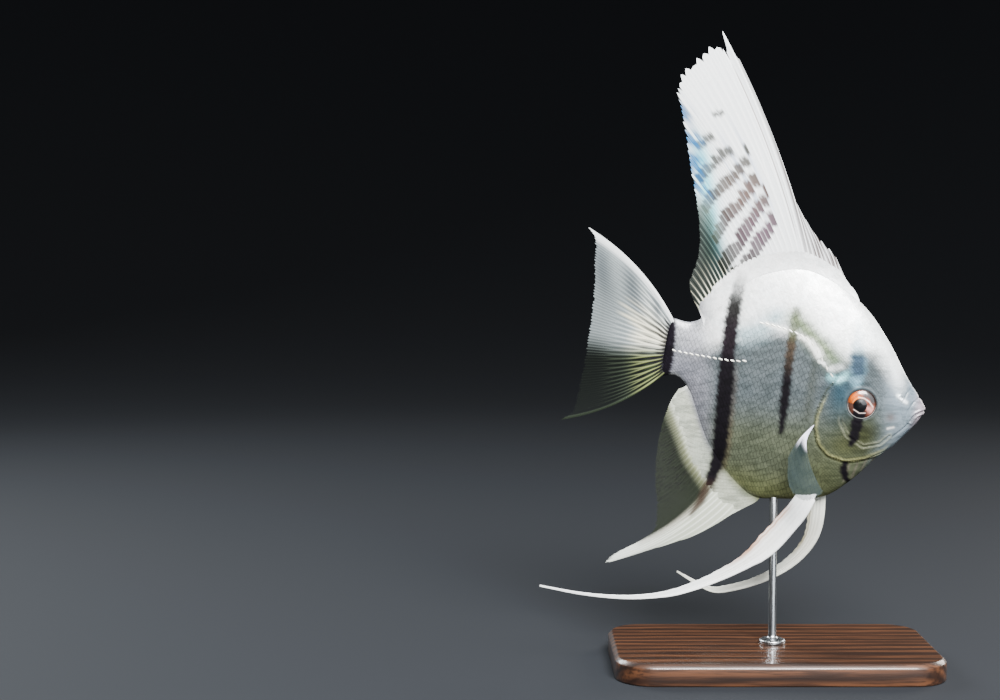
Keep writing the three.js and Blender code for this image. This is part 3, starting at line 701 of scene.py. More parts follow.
# %% [markdown]
# ## The scales
#
# Scales grow in slanting rows, each one's free edge lying over the roots of the next two. Rows are
# laid out on the side of the fish unrolled flat: one way is the distance behind the snout, the
# other the length of skin above or below the widest line. A table turns a place on that flat sheet
# back into a turn round the section, so that scales keep their size as the body curves.

# %% Unroll one side
sheet_back = np.linspace(1, BODY_LENGTH + 2.4, 260)
sheet_turn = np.sin(np.linspace(-np.pi / 2, np.pi / 2, 261)) * np.pi / 2
unrolled = skin_at(*np.meshgrid(sheet_back, sheet_turn, indexing="ij"), carved=False)
girth = np.cumsum(np.linalg.norm(np.diff(unrolled, axis=1, prepend=unrolled[:, :1]), axis=-1), axis=1)
girth -= girth[:, 130:131]
arc_steps = np.linspace(-52, 52, 521)
turn_table = np.stack([np.interp(arc_steps, station, sheet_turn) for station in girth])


def turn_at(back, arc):
    """The turn round the section at a distance behind the snout and a length up the skin, read
    between the four nearest entries of the table."""
    i = np.clip((back - sheet_back[0]) / (sheet_back[1] - sheet_back[0]), 0, len(sheet_back) - 1.001)
    j = np.clip((arc - arc_steps[0]) / (arc_steps[1] - arc_steps[0]), 0, len(arc_steps) - 1.001)
    m, n = i.astype(int), j.astype(int)
    s, t = i - m, j - n
    near = turn_table[m, n] * (1 - t) + turn_table[m, n + 1] * t
    far = turn_table[m + 1, n] * (1 - t) + turn_table[m + 1, n + 1] * t
    return near * (1 - s) + far * s


print("skin above and below the widest line, mm:", girth[:, -1].max().round(1), girth[:, 0].min().round(1))

# %% [markdown]
# ## One scale, many times
#
# A scale is a small rounded plate, thin at its rim, sunk at its root and lifted at its free edge.
# One square grid pulled into a disc is the pattern for all. Copies are laid over the rows by adding
# each scale's own place to the pattern, all at once, and then every point is put on the skin. On
# the OFBake map each plate has a small patch of its own at its root's place.

# %% The plate and its many copies
UNDERSIDE = -0.1
PATCH = 0.0015


def plate_pattern(count):
    """A grid of count x count points pulled into a disc, and one point below its middle: along and
    across from -1 to 1, and its faces, which are quads on top and triangles from the rim below."""
    u, v = np.meshgrid(np.linspace(-1, 1, count), np.linspace(-1, 1, count), indexing="ij")
    along, across = u * np.sqrt(1 - v * v / 2), v * np.sqrt(1 - u * u / 2)
    faces = quads_of(count, count), fan_of(rim_of(count, count)[::-1], count * count)
    return np.append(along, 0), np.append(across, 0), faces


def patches(u, v, along, across):
    """The map places of many plates: each one's own place, and a small patch round it."""
    return np.stack([u, v], -1)[:, None] + PATCH * np.stack([along, across], -1)


def put_plates(name, points, faces, colours, uv, mirrored=0, **values):
    """Puts in one plate many times over. points are (plate, point of the pattern), and the last
    plates, as many as are mirrored, have their faces turned about."""
    count, each = points.shape[:2]
    copies = [part + np.arange(count)[:, None, None] * each for part in faces]
    for part in copies:
        part[count - mirrored:] = part[count - mirrored:, :, ::-1]
    quads, triangles = copies[0].reshape(-1, 4), copies[1].reshape(-1, 3)
    values = {key: np.broadcast_to(value, (count, each)) for key, value in values.items()}
    world = to_world(points.reshape(-1, 3))
    piece = put_mesh(name, world, quads, triangles, colours, values, uv, crisp=True)
    return finish_piece(piece, skin_material, "skin")


# %% Lay scales over one side
def spaced(low, high, spacing):
    """A function from a running number to a place, where steps of 1 are the local spacing apart."""
    x = np.linspace(low, high, 3000)
    number = np.cumsum(1 / spacing(x)) * (x[1] - x[0])
    return lambda k: np.interp(k, number, x), int(number[-1])


def slanted(row, back, slant):
    """The length up the skin of a row at a distance behind the snout: rows run down to the front,
    more steeply low on the flank."""
    return row + slant * (0.12 + 0.4 * rise(-row, 2, 32)) * (back - 52)


def snout_line(back, height):
    """How far behind the snout the scales begin, a little ragged."""
    heights = [-30, -20, -14, -8, 0, 5, 12, 20, 30]
    front = np.interp(height, heights, [10, 12, 10.5, 11, 12, 12, 11.4, 17.4, 23])
    return front + 1.1 * np.sin(height * 2.7) * np.sin(height * 0.9 + back * 3)


def lay_scales(name, side, pitch, row, keep, count, raised, seed, slant):
    """Lays plates over one side. pitch and row are the spacing along and across the rows, keep says
    which roots bear a scale, and raised is how far a free edge stands off the skin, in mm. Scales lie
    flatter high on the body, where they hardly show, and sink into the skin towards the snout."""
    random = np.random.default_rng(seed)
    at_back, last_back = spaced(6, BODY_LENGTH + 1.6, pitch)
    at_arc, last_arc = spaced(-60, 60, row)
    j, i = np.meshgrid(np.arange(last_arc), np.arange(last_back), indexing="ij")
    back = at_back(i + 0.5 * (j % 2)).ravel()
    arc = at_arc(j).ravel()
    turn = turn_at(back, slanted(arc, back, slant))
    height = flesh(back, turn)[2]
    on_side = (np.abs(slanted(arc, back, slant)) < 50) & (back < BODY_LENGTH + 0.2)
    off_ridge = np.abs(np.abs(turn) - np.pi / 2) > 0.06
    kept = on_side & off_ridge & keep(back, height)
    back, arc, height = (v[kept] for v in (back, arc, height))
    back, arc = (v + random.normal(0, 0.035, len(v)) * pitch(back) for v in (back, arc))
    along, across, faces = plate_pattern(count)
    lifted = -0.01 + (raised + 0.01) * (along + 1) / 2 - 0.3 * raised * across + 0.01 * (1 - across**2)
    lifted[-1] = UNDERSIDE
    fade = rise(back - snout_line(back, height), 0, 5)[:, None]
    lifted = lifted * fade * (1 - 0.3 * rise(height, 2, 15))[:, None] - 0.006 * (1 - fade)
    half_long = 0.8 * pitch(back)[:, None] * random.uniform(0.95, 1.05, (len(back), 1))
    half_wide = 1.12 * row(arc)[:, None]
    plate_back = back[:, None] + along * half_long
    plate_turn = turn_at(plate_back, slanted(arc[:, None] + across * half_wide, plate_back, slant))
    if side == "right":
        plate_turn = np.pi - plate_turn
    points = skin_at(plate_back, plate_turn, lifted)
    share = 0.8
    paint_back = share * -points[..., 0] + (1 - share) * back[:, None]
    middle_height = points[..., 2].mean(1, keepdims=True)
    colours = paint(paint_back, share * points[..., 2] + (1 - share) * middle_height)
    rim = np.hypot(along, across) * np.where((along > 0.1) | (across < -0.3), 1, 0.6)
    rim[-1] = 0
    shade = random.uniform(0, 1, (len(back), 1))
    uv = patches(back / 90, (arc + 61) / 122, along, across)
    return put_plates(name, points, faces, colours, uv, rim=rim, shade=shade)


# %% Which skin bears which scales
def on_body(back, height):
    """Behind the head: past the gill cover below and a slanting line at the nape above."""
    heights = [-36, -30, -24, -19, -10, 0, 6, 14, 26, 34]
    front = np.interp(height, heights, [24, 25, 28, 31.5, 34, 33, 31.5, 30, 30.5, 31])
    return back > front + 0.8


def on_head(back, height):
    """The cheek, gill cover, nape and breast, leaving the snout, lips, chin and eye bare."""
    eye = np.hypot(back - EYE_BACK, height - EYE_HEIGHT)
    gill, real = from_gill_margin(back, height)
    on_margin = (np.abs(gill + 0.2) < 0.55) & (real > 0.4)
    under_jaw = (gill < 0) & (real > 0.5) & (back < 21.8) & (height < -14)
    scaly = ~on_body(back, height) & (back > snout_line(back, height)) & (eye > 6.1)
    return scaly & ~on_margin & ~under_jaw


def body_pitch(back):
    """The spacing of the body's scales along a row, in mm."""
    return np.interp(back, [0, 26, 36, 60, 72, 86], [1.4, 1.5, 1.9, 1.9, 1.65, 1.3])


def body_row(arc):
    """The spacing of the body's rows, closer towards the ridges."""
    return np.interp(arc, [-60, -36, -24, 22, 34, 60], [0.8, 0.8, 1.12, 1.12, 0.8, 0.7])


def head_pitch(back):
    """The spacing along a row on the head, smallest on the face."""
    return np.interp(back, [0, 12, 24, 36], [0.8, 0.85, 1.15, 1.45])


def head_row(arc):
    """The spacing of the rows on the head."""
    return np.interp(arc, [-46, -10, 10, 46], [0.55, 0.5, 0.5, 0.6])


for number, side in enumerate(["right", "left"]):
    lay_scales(f"scales_body_{side}", side, body_pitch, body_row, on_body, 6, 0.05, 11 + number, 1)
    lay_scales(f"scales_head_{side}", side, head_pitch, head_row, on_head, 4, 0.028, 21 + number, 0)

# %% [markdown]
# ## The lateral line
#
# A fish feels the water through a row of pores. On an angelfish the row is in two pieces: an arch
# high on the flank, and a straight run low on the tail stalk. Each scale of the row has a small
# raised tube that catches the light, and the tubes are painted near white as a painted highlight.
# The same plates serve, made narrow and domed.

# %% Tubes along the lateral line
LATERAL_ARCH = [
    [30.8, 5.2], [33.6, 8.1], [35.8, 10.9], [38.9, 14], [42.7, 15.8], [48, 16.8], [53.3, 17.3], [57, 17.2],
]
LATERAL_RUN = [[58.6, 4.4], [61, 3.9], [66, 3.5], [72, 3.4], [77, 3.3], [81.5, 3.4]]
TUBE_SPACING = 1.9
TUBE_HALF_LONG = 0.72
TUBE_HALF_WIDE = 0.24


def side_turn(back, height):
    """The turn round the left side at which the flesh has a height: the sine's own inverse."""
    middle = WIDEST_HEIGHT(back)
    edge = np.where(height > middle, BACK_EDGE(back) - COAT, BELLY_EDGE(back) + COAT)
    share = np.clip((height - middle) / (edge - middle), 0, 1)
    return np.arcsin(share) * np.where(height > middle, 1, -1)


def lateral_tubes(side):
    """Lays plates along both lines, each turned with its line and a little up, and domed as the
    square root of 1 - across^2, higher behind."""
    backs, heights, slopes = [], [], []
    for line in (LATERAL_ARCH, LATERAL_RUN):
        curve = through(line)
        back = np.arange(line[0][0], line[-1][0], TUBE_SPACING)
        backs.append(back)
        heights.append(curve(back))
        slopes.append(curve(back + 0.5) - curve(back - 0.5))
    back, height, slope = (np.concatenate(v)[:, None] for v in (backs, heights, slopes))
    along, across, faces = plate_pattern(6)
    lift = 0.03 + 0.2 * np.sqrt(np.clip(1 - across**2, 0, 1)) * (0.6 + 0.4 * along)
    lift[-1] = UNDERSIDE
    tilt = np.arctan(slope) + 0.25
    ahead, aside = TUBE_HALF_LONG * along, TUBE_HALF_WIDE * across
    place_back = back + ahead * np.cos(tilt) - aside * np.sin(tilt)
    place_height = height + ahead * np.sin(tilt) + aside * np.cos(tilt)
    turn = side_turn(place_back, place_height)
    turn = np.pi - turn if side == "right" else turn
    points = skin_at(place_back, turn, np.broadcast_to(lift, turn.shape))
    # The tubes are painted near white over the paint beneath: a painted highlight.
    colours = mixed(paint(place_back, place_height), rgb(250, 248, 236), np.full(turn.shape, 0.9))
    uv = patches(back[:, 0] / 90, (height[:, 0] + 46) / 92, along, across)
    return put_plates(f"lateral_line_{side}", points, faces, colours, uv)


lateral_tubes("right")
lateral_tubes("left")

# %% [markdown]
# ## How a fin is built
#
# A fin is a fan of stiff rays with a thin membrane between them. Spines in front are single, and
# the soft rays behind fork twice on their way out. Here a fin is one sheet with two sides. Going
# across it counts the rays, going along it follows them, and the sheet swells over each ray. The
# free edge reaches out at the rays and falls back between them.

# %% Rays, edges and sheets
def split_ray(x, along, first, second):
    """How much a place is on a ray: 1 on it, 0 between. x is the place across one cell of the fan,
    -0.5 to 0.5. The ray forks at the first share of the way along, and again at the second."""
    wide = 0.25 * rise(along, first, first + 0.3)
    narrow = 0.125 * rise(along, second, second + 0.25)
    width = np.clip(0.19 - 0.16 * along, 0.05, 1)
    amount = np.zeros(np.broadcast(x, along).shape)
    for side in (-1, 1):
        for twig in (-1, 1):
            amount = np.maximum(amount, hump(x - side * wide - twig * narrow, width))
    return amount


def free_edge(cell, x, twigs, notch, seed, fray=0.012):
    """The share of its length that the fin reaches at a place across it: full at each twig's tip,
    less between two twigs by the notch, with a ragged difference from one twig to the next."""
    random = np.random.default_rng(seed)
    own = random.normal(0, 1, 4000)
    twig_number = cell * twigs + np.floor((x + 0.5) * twigs)
    in_twig = np.abs((x + 0.5) * twigs % 1 - 0.5) * 2
    ragged = own[twig_number.astype(int)]
    return 1 - notch * in_twig**1.3 * (1 + 0.4 * ragged) - fray * np.abs(ragged) + fray


def fan_surface(root, tip, bow, face, across, along):
    """A point of a fan: along the straight run from root to tip, arched sideways in its plane by
    the bow times the run's length, as 4 * along * (1 - along)."""
    start, run = root(across), tip(across) - root(across)
    arch = np.cross(run, face(across)) * bow(across)[..., None]
    return start + run * along[..., None] + arch * (4 * along * (1 - along))[..., None]


def cells_of(across, cuts):
    """Which ray's cell a share across the fan is in, and the place in it from -0.5 to 0.5. cuts is
    a list of [share, number of rays before it]."""
    shares, counts = np.array(cuts, float).T
    running = np.interp(across, shares, counts)
    cell = np.minimum(np.floor(running + 1e-9), counts[-1] - 1)
    return cell, running - cell - 0.5


def columns_for(cuts, per_cell):
    """Shares across the fan with the same number of columns in every ray's cell."""
    shares, counts = np.array(cuts, float).T
    return np.interp(np.arange(int(counts[-1]) * per_cell + 1) / per_cell, counts, shares)


def edge_length_share(edge, start, end):
    """The distance behind the snout at each share of the length of an edge."""
    back = np.linspace(start, end, 400)
    length = np.cumsum(np.hypot(np.diff(back, prepend=start), np.diff(edge(back), prepend=edge(start))))
    return lambda share: np.interp(share, length / length[-1], back)


LEFTWARD = np.array([0.0, 1.0, 0.0])


# %% [markdown]
# ## The paint of the fins
#
# The rays are white and the skin between them is clear or smoky, so a fin needs a colour and also
# a measure of how much it hides. The back fin has seven rows of dark dashes. Each row is a measured
# line across the fin, and each dash is a block between two rays, centred where the row crosses it.

# %% The fin material
def fin_look(name, roughness=0.4, gloss=0.14, shine=0.25):
    """White and smoky paint from the sheet's own colour, with a see-through share."""
    material, tree, shader = new_material(
        name, roughness=roughness, coat_weight=gloss, coat_roughness=0.15, specular_ior_level=shine,
    )
    fine = noise(tree, 1100, 4, 0.6)
    grain = mapped(tree, fine, 0.35, 0.7, 0, 0.2)
    colour = mix(tree, grain, stored(tree, "paint", "Color"), rgb(150, 150, 150), "MULTIPLY")
    tree.links.new(colour, shader.inputs["Base Color"])
    uneven = mapped(tree, fine, 0.3, 0.7, 0.92, 1.06)
    cover = maths(tree, "MULTIPLY", uneven, stored(tree, "cover"), use_clamp=True)
    tree.links.new(cover, shader.inputs["Alpha"])
    tree.links.new(bump(tree, noise(tree, 1800, 2), 0.00005, 0.4), shader.inputs["Normal"])
    return material


fin_material = fin_look("painted_fin")
clear_fin_material = fin_look("clear_fin", 0.6, 0.0, 0.12)
RAY_WHITE = rgb(244, 246, 246)
RAY_CREAM = rgb(240, 234, 205)
EDGE_BLUE = rgb(0, 92, 146)

# %% [markdown]
# ## The back fin and the belly fin
#
# Each stands on the edge of the body. The roots are spread evenly along that edge, the tips follow
# a measured outline, and the rays bow a little backwards. The roots sink into the flesh, so no gap
# shows. The front spines are short and the soft rays behind them are longest.

# %% Shape of the fins on the body's edges
ROOT_OUT = 0.3
FIN_ROOT = 3.2


def edge_fin(edge, up, start, end, bow, lean, tips):
    """The root, tip, bow and face functions of a fin on the back (up = 1) or the belly (up = -1),
    and the half width of the flesh a little inside each root."""
    back_at = edge_length_share(edge, start, end)
    outline = through(tips)

    def root(across):
        """A place a little outside the edge, along the edge's own normal."""
        back = back_at(across)
        slope = np.stack([edge(back - 0.5) - edge(back + 0.5), np.ones_like(back)], -1)
        slope /= np.linalg.norm(slope, axis=-1, keepdims=True)
        return place(back + up * slope[..., 0] * ROOT_OUT, 0.0, edge(back) + up * slope[..., 1] * ROOT_OUT)

    def tip(across):
        """A place on the outline, leaning sideways more and more towards the rear."""
        at = outline(across)
        return place(at[..., 0], lean * across, at[..., 1])

    def flush(across):
        """The flesh's half width 1.5 mm inside the edge, less at both ends of the fin."""
        back = back_at(across)
        ends = (0.42 + 0.5 * rise(across, 0.05, 0.6)) * (1 - 0.7 * rise(across, 0.92, 1))
        return flank(back, edge(back) - up * 1.5) * ends

    return root, tip, lambda across: np.full(np.shape(across), -bow), lambda across: LEFTWARD, flush


def put_fin(name, nodes, middle, out, colour, cover, spread, material, crisp):
    """One closed sheet whose faces stand off its middle by out, each with the same paint. spread is
    the place on the left half of the map, and the far face has the right half."""
    points, faces = closed_sheet(middle - out, middle + out)
    colour, cover = (np.concatenate([v, v]) for v in (colour.reshape(-1, 3), cover.ravel()))
    half_map = np.stack(spread, -1).reshape(-1, 2)
    uv = np.concatenate([half_map, half_map + [0.5, 0]])
    piece = put_mesh(name, to_world(points), faces, None, colour, {"cover": cover}, uv, crisp=crisp)
    return finish_piece(piece, material, "fin", *nodes)


def fan_length(surface, across):
    """The straight length in mm from root to tip at a share across a fan."""
    return np.linalg.norm(surface(across, np.ones_like(across)) - surface(across, 0 * across), axis=-1)


def thick_sheet(
    name, nodes, surface, cuts, per_cell, steps, half, reach, look,
    sunk=FIN_ROOT, face=LEFTWARD, material=fin_material,
):
    """Builds a fin. surface gives points at shares across and along, sunk is the length in mm that
    the roots go into the flesh, half gives the half thickness along the face's normal, reach the
    free edge, and look the colour and cover."""
    across = columns_for(cuts, per_cell)
    long = fan_length(surface, across)
    share = np.linspace(0, 1, steps) ** 1.3
    cell, x = cells_of(across, cuts)
    along = (1 - share) * (-sunk / long)[:, None] + share * reach(cell, x, across)[:, None]
    wide, cell, x = (np.broadcast_to(v[:, None], along.shape) for v in (across, cell, x))
    middle = surface(wide, along)
    thick = half(wide, along, cell, x, along * long[:, None])[..., None]
    colour, cover = look(wide, along, cell, x, middle)
    cover = np.clip(cover, 0.03, 1)
    spread = wide * 0.48 + 0.01, np.clip(along, -0.05, 1.05) * 0.88 + 0.06
    return put_fin(name, nodes, middle, face * thick, colour, cover, spread, material, crisp=True)


# %% The back fin
SPINES_END = 0.35
DORSAL_CUTS = [[0, 0], [SPINES_END, 12], [1, 40]]
DORSAL_TIPS = [
    [0, 28.4, 32.2], [0.05, 32.6, 36.2], [0.11, 37, 42.4], [0.18, 43.8, 47.6], [0.235, 50, 54.4],
    [0.277, 59.5, 67.4], [0.306, 75.4, 94.8], [0.325, 79.8, 100], [0.3354, 84, 105.2], [0.344, 82, 100.4],
    [0.351, 82.6, 100], [0.3616, 85, 101.7], [0.385, 88.2, 98.9], [0.41, 92, 94.9], [0.455, 95.3, 86.8],
    [0.525, 91.6, 76.2], [0.6, 87, 62.8], [0.7, 82.4, 50], [0.79, 79.9, 40], [0.85, 79.4, 34.6],
    [0.9, 80, 30], [0.945, 80.6, 25.6], [0.975, 79.2, 21.8], [1, 77, 18.4],
]
dorsal = edge_fin(BACK_EDGE, 1, 27.2, 74.6, 0.03, 1.8, DORSAL_TIPS)


def dorsal_surface(across, along):
    """The back fin's middle sheet."""
    return fan_surface(*dorsal[:4], across, along)


def ray_on(across, along, x, spines):
    """The ray pattern of a fin whose rays are single spines up to a share across it."""
    return np.where(across < spines, hump(x, 0.16 - 0.06 * along), split_ray(x, along, 0.3, 0.74))


def median_half(spines, flush, scaled):
    """Half thickness in mm: flush with the flesh at the root, thinning outwards as an exponential,
    and swelling over the rays beyond the part that bears scales."""
    def half(across, along, cell, x, length):
        """The half thickness at each place."""
        ray = ray_on(across, along, x, spines)
        base = 0.05 + 0.44 * flush(across) * np.exp(-length / 2.4) * (0.2 + 0.8 * rise(length, -2.9, -1.5))
        end = 1 - rise(along, 0.9, 1.04)
        grown = ray * (0.11 - 0.09 * along) * rise(length, scaled - 2, scaled + 4)
        return (base + grown) * (0.25 + 0.75 * end)
    return half


def dorsal_reach(cell, x, across):
    """The free edge: deep notches between the first spines, shallow ones behind."""
    spiny = free_edge(cell, x, 1, np.where(cell > 8.5, 0.02, 0.17), 3, 0.02)
    soft = free_edge(cell, x, 2, 0.026, 4, 0.012)
    return np.where(across < SPINES_END, spiny, soft)


DASH_ROWS = [
    [
        [57.9, 52.4], [58.6, 48], [59.2, 45.9], [60.5, 43.3], [61.9, 39.5], [63.5, 35.3], [65.5, 31.6],
        [68, 28.2],
    ],
    [[60.9, 58.9], [62.1, 56], [64.3, 50.1], [65.7, 44.9], [67.2, 40.6], [69.5, 36.2], [71.2, 32.7]],
    [[65.3, 64], [66.7, 58.7], [68.4, 55.6], [70.1, 52.2], [72.3, 49.1], [73.7, 45.3], [75.2, 41.5]],
    [[69.2, 70.5], [70.9, 64.6], [72.7, 61.7], [74.5, 58.9], [76.5, 56.8], [78.3, 53.9], [80.2, 49.6]],
    [[75, 70.1], [77, 68.2], [78.9, 65.6], [80.8, 63.1], [82.3, 60.7], [83.4, 58.1]],
    [[81.2, 73.8], [83.9, 71.5], [86, 68.2]],
    [[79.4, 80.9], [84.6, 79.4]],
]
DASH_HALF = [2.4, 2.3, 2.1, 1.9, 1.7, 1.5, 0.8]
NO_ROW = -99
OWN_COUNT = 997


def own_values(seed):
    """Random shares, 0 to 1, from which each ray, gap or dash takes one by its number."""
    values = np.random.default_rng(seed).uniform(0, 1, OWN_COUNT)
    return lambda number: values[number.astype(int) % OWN_COUNT]


def row_crossings(row):
    """For each gap between rays, how far along it a row of dashes crosses it in mm, or NO_ROW."""
    gaps = columns_for(DORSAL_CUTS, 1)
    along = np.linspace(0, 1, 500)
    spots = dorsal_surface(*np.meshgrid(gaps, along, indexing="ij"))
    backs, heights = np.array(row).T
    back = -spots[..., 0]
    away = np.abs(spots[..., 2] - np.interp(back, backs, heights))
    away[(back < backs[0]) | (back > backs[-1])] = 99
    long = np.linalg.norm(dorsal[1](gaps) - dorsal[0](gaps), axis=-1)
    return np.where(away.min(1) < 0.6, along[away.argmin(1)] * long, NO_ROW)


def dash_share(across, length, cell, x, own):
    """1 on a dash and 0 off it: each gap between rays has one dash of each row that crosses it, a
    little up or down and longer or shorter than its neighbours."""
    gap = (cell + (x > 0)).astype(int)
    dash = np.zeros(length.shape)
    for number, (row, half) in enumerate(zip(DASH_ROWS, DASH_HALF)):
        uneven = own(number * 31 + gap * 7)
        away = np.abs(length - row_crossings(row)[gap] - uneven + 0.5) - half * (0.8 + 0.4 * uneven)
        dash = np.maximum(dash, 1 - rise(away, -0.35, 0.35))
    return dash * (1 - 0.4 * hump(x, 0.07)) * (across > 0.4) * (0.88 + 0.12 * own(gap * 3))


def dash_colour(back, height, left):
    """Grey dashes, mauve low in front, brown in the middle and blue-grey near the rear margin."""
    colour = mixed(rgb(66, 68, 64), rgb(70, 36, 58), spot(back, height, (61.5, 47), 9))
    colour = mixed(colour, rgb(86, 52, 36), spot(back, height, (68, 57), 8) * 0.7)
    return mixed(colour, rgb(44, 82, 112), (1 - rise(left, 3, 17)) * rise(height, 46, 54) * 0.8)


def dorsal_look(across, along, cell, x, middle):
    """White rays and front, rows of dashes between the rays behind, smoky between the spines, and
    clear at the rear, where only the roots of the rays are bright."""
    own = own_values(8)
    long = np.linalg.norm(dorsal[1](across) - dorsal[0](across), axis=-1)
    ray = ray_on(across, along, x, SPINES_END)
    length = along * long
    left = (1 - along) * long
    back, height = -middle[..., 0], middle[..., 2]
    colour = mixed(RAY_WHITE, rgb(214, 222, 230), (1 - ray) * 0.3)
    for at, width in ((0.44, 0.007), (0.405, 0.004), (0.475, 0.004)):
        streak = hump(across - at, width) * rise(along, 0.12, 0.35) * (1 - rise(along, 0.5, 0.8))
        colour = mixed(colour, rgb(140, 160, 196), streak * 0.5)
    brown_line = hump(across - 0.3505, 0.0022) * rise(along, 0.08, 0.2) * (1 - rise(along, 0.85, 0.97))
    colour = mixed(colour, rgb(92, 66, 54), brown_line * 0.8)
    dash = dash_share(across, length, cell, x, own)
    colour = mixed(colour, dash_colour(back, height, left), dash)
    margin = rise(across, 0.44, 0.5) * (1 - rise(across, 0.78, 0.88))
    glow = margin * hump(left - 8, 7) * (1 - dash) * (1 - rise(height, 64, 78))
    colour = mixed(colour, rgb(70, 206, 222), glow * 0.8)
    strip = own((cell * 2 + (x > 0)) * 5)
    wave = 0.55 + 0.45 * np.sin(height * 0.78 + 1.2 + 2 * strip)
    blue = margin * (1 - rise(left, 2 + 5 * strip, 6 + 10 * strip)) * rise(height, 50, 57)
    blue = blue * (1 - rise(height, 80, 92)) * np.clip(wave + 0.25, 0, 1)
    colour = mixed(colour, EDGE_BLUE, (1 - 0.3 * ray) * blue * (strip > 0.2))
    low_margin = rise(across, 0.6, 0.7) * (1 - rise(left, 6, 16)) * (1 - rise(height, 48, 56))
    colour = mixed(colour, rgb(126, 150, 134), low_margin * (1 - 0.4 * ray) * 0.8)
    spiny = 1 - rise(across, SPINES_END - 0.04, SPINES_END - 0.012)
    smudge = 0.5 + 0.5 * np.sin(cell * 2.4 + along * 7)
    colour = mixed(colour, rgb(92, 78, 76), spiny * (1 - ray) * rise(length, 2, 5) * (0.5 + 0.5 * smudge))
    behind = rise(across, 0.7, 0.8) * (1 - ray) * rise(length, 1, 4)
    colour = mixed(colour, rgb(96, 108, 92), behind * 0.8)
    tapered = hump(x, 0.32 - 0.24 * rise(length, 0.5, 7))
    base = rise(across, 0.7, 0.78) * (1 - rise(length, 8, 14))
    colour = mixed(colour, RAY_CREAM, base * tapered)
    cover = 0.98 - 0.08 * (1 - ray)
    cover = cover - 0.72 * low_margin * (1 - 0.35 * ray)
    fringe = rise(across, 0.64, 0.76) * rise(length, 0.3, 2.3)
    cover = cover * (1 - fringe) + fringe * (0.04 + (0.96 - 0.74 * rise(length, 3, 10)) * tapered)
    cover = cover - 0.3 * spiny * (1 - ray) * rise(length, 4, 8)
    root = 1 - rise(length, 1, 3.5)
    return mixed(colour, paint(back, height), root * 0.9), cover + root


DORSAL_SCALED = 5
dorsal_half = median_half(SPINES_END, dorsal[4], DORSAL_SCALED)
thick_sheet(
    "fin_dorsal", ["dorsal_fin"], dorsal_surface, DORSAL_CUTS, 16, 66, dorsal_half, dorsal_reach,
    dorsal_look,
)

# %% The belly fin
ANAL_SPINES_END = 0.2
ANAL_CUTS = [[0, 0], [ANAL_SPINES_END, 6], [1, 31]]
ANAL_TIPS = [
    [0, 48.6, -41.4], [0.053, 55, -46.6], [0.11, 64.4, -54.9], [0.163, 77.4, -62.2], [0.21, 90, -68.8],
    [0.26, 88.4, -65.6], [0.33, 81.4, -60], [0.4, 77.4, -55.4], [0.49, 77.6, -48.6], [0.595, 79.6, -40],
    [0.73, 80.9, -31], [0.87, 80.8, -20.4], [0.95, 79.4, -13], [1, 77.6, -8.4],
]
anal = edge_fin(BELLY_EDGE, -1, 46.2, 75.6, -0.07, -1.4, ANAL_TIPS)


def anal_surface(across, along):
    """The belly fin's middle sheet."""
    return fan_surface(*anal[:4], across, along)


def anal_reach(cell, x, across):
    """The free edge: small notches between the spines, and between the twigs behind."""
    spiny = free_edge(cell, x, 1, 0.05, 5, 0.01)
    soft = free_edge(cell, x, 4, 0.03, 6, 0.012)
    return np.where(across < ANAL_SPINES_END, spiny, soft)


def anal_look(across, along, cell, x, middle):
    """A pale scaled base and front lobe with a brown streak, and a dusky, half clear rear."""
    random = np.random.default_rng(9)
    ray = ray_on(across, along, x, ANAL_SPINES_END)
    length = along * np.linalg.norm(anal[1](across) - anal[0](across), axis=-1)
    back, height = -middle[..., 0], middle[..., 2]
    colour = mixed(rgb(176, 182, 164), rgb(226, 229, 220), ray * 0.7)
    colour = mixed(colour, rgb(224, 228, 226), rise(back, 66, 84) * 0.5)
    streak = mark(back, height, [[64.5, -43, 1.2], [69, -49, 1.4], [75, -55.5, 1.1], [81, -60.5, 0.5]], 1.3)
    colour = mixed(colour, rgb(96, 66, 48), streak * 0.4)
    clear = rise(across, 0.27, 0.38) * rise(length, 4, 8.5)
    speckle = random.uniform(0, 1, along.shape)
    beside = np.roll(speckle, 1, 0), np.roll(speckle, 1, 1), np.roll(speckle, (1, 1), (0, 1))
    speckle = (speckle + beside[0] + beside[1] + beside[2]) / 4
    rear = rise(across, 0.4, 0.55)
    dusky = mixed(rgb(22, 28, 17), rgb(5, 6, 5), rise(speckle, 0.46, 0.62) * rear * 0.9)
    colour = mixed(colour, rgb(92, 96, 48), clear * hump(length - 8, 6) * 0.8)
    colour = mixed(colour, dusky, clear * rise(length, 6.5, 11) * 0.98)
    base = 1 - rise(length, 3, 8)
    colour = mixed(colour, paint(back, height), base * 0.9)
    bar = mark(back, height, MAIN_BAR, 0.9) * (1 - base)
    colour = mixed(colour, rgb(48, 32, 24), bar * 0.9)
    cover = 0.97 - 0.06 * (1 - ray) - 0.26 * clear * (1 - 0.6 * ray)
    cover = cover + 0.14 * clear * rise(speckle, 0.5, 0.66) * rear
    return colour, cover + base * 0.6


ANAL_SCALED = 7
anal_half = median_half(ANAL_SPINES_END, anal[4], ANAL_SCALED)
thick_sheet("fin_anal", ["anal_fin"], anal_surface, ANAL_CUTS, 16, 54, anal_half, anal_reach, anal_look)

# %% [markdown]
# ## Scales that climb the fins
#
# On an angelfish small scales run up over the bases of the back and belly fins, so the body has no
# sharp edge there. They are laid on the fin's own surface, rows across the rays, points outwards,
# and they thin out with height.

# %% The scaled sheaths
SHEATH_ROW = 0.8
SHEATH_PITCH = 1.3
SHEATH_FROM = -2.2
SHEATH_UNDERSIDE = -0.03


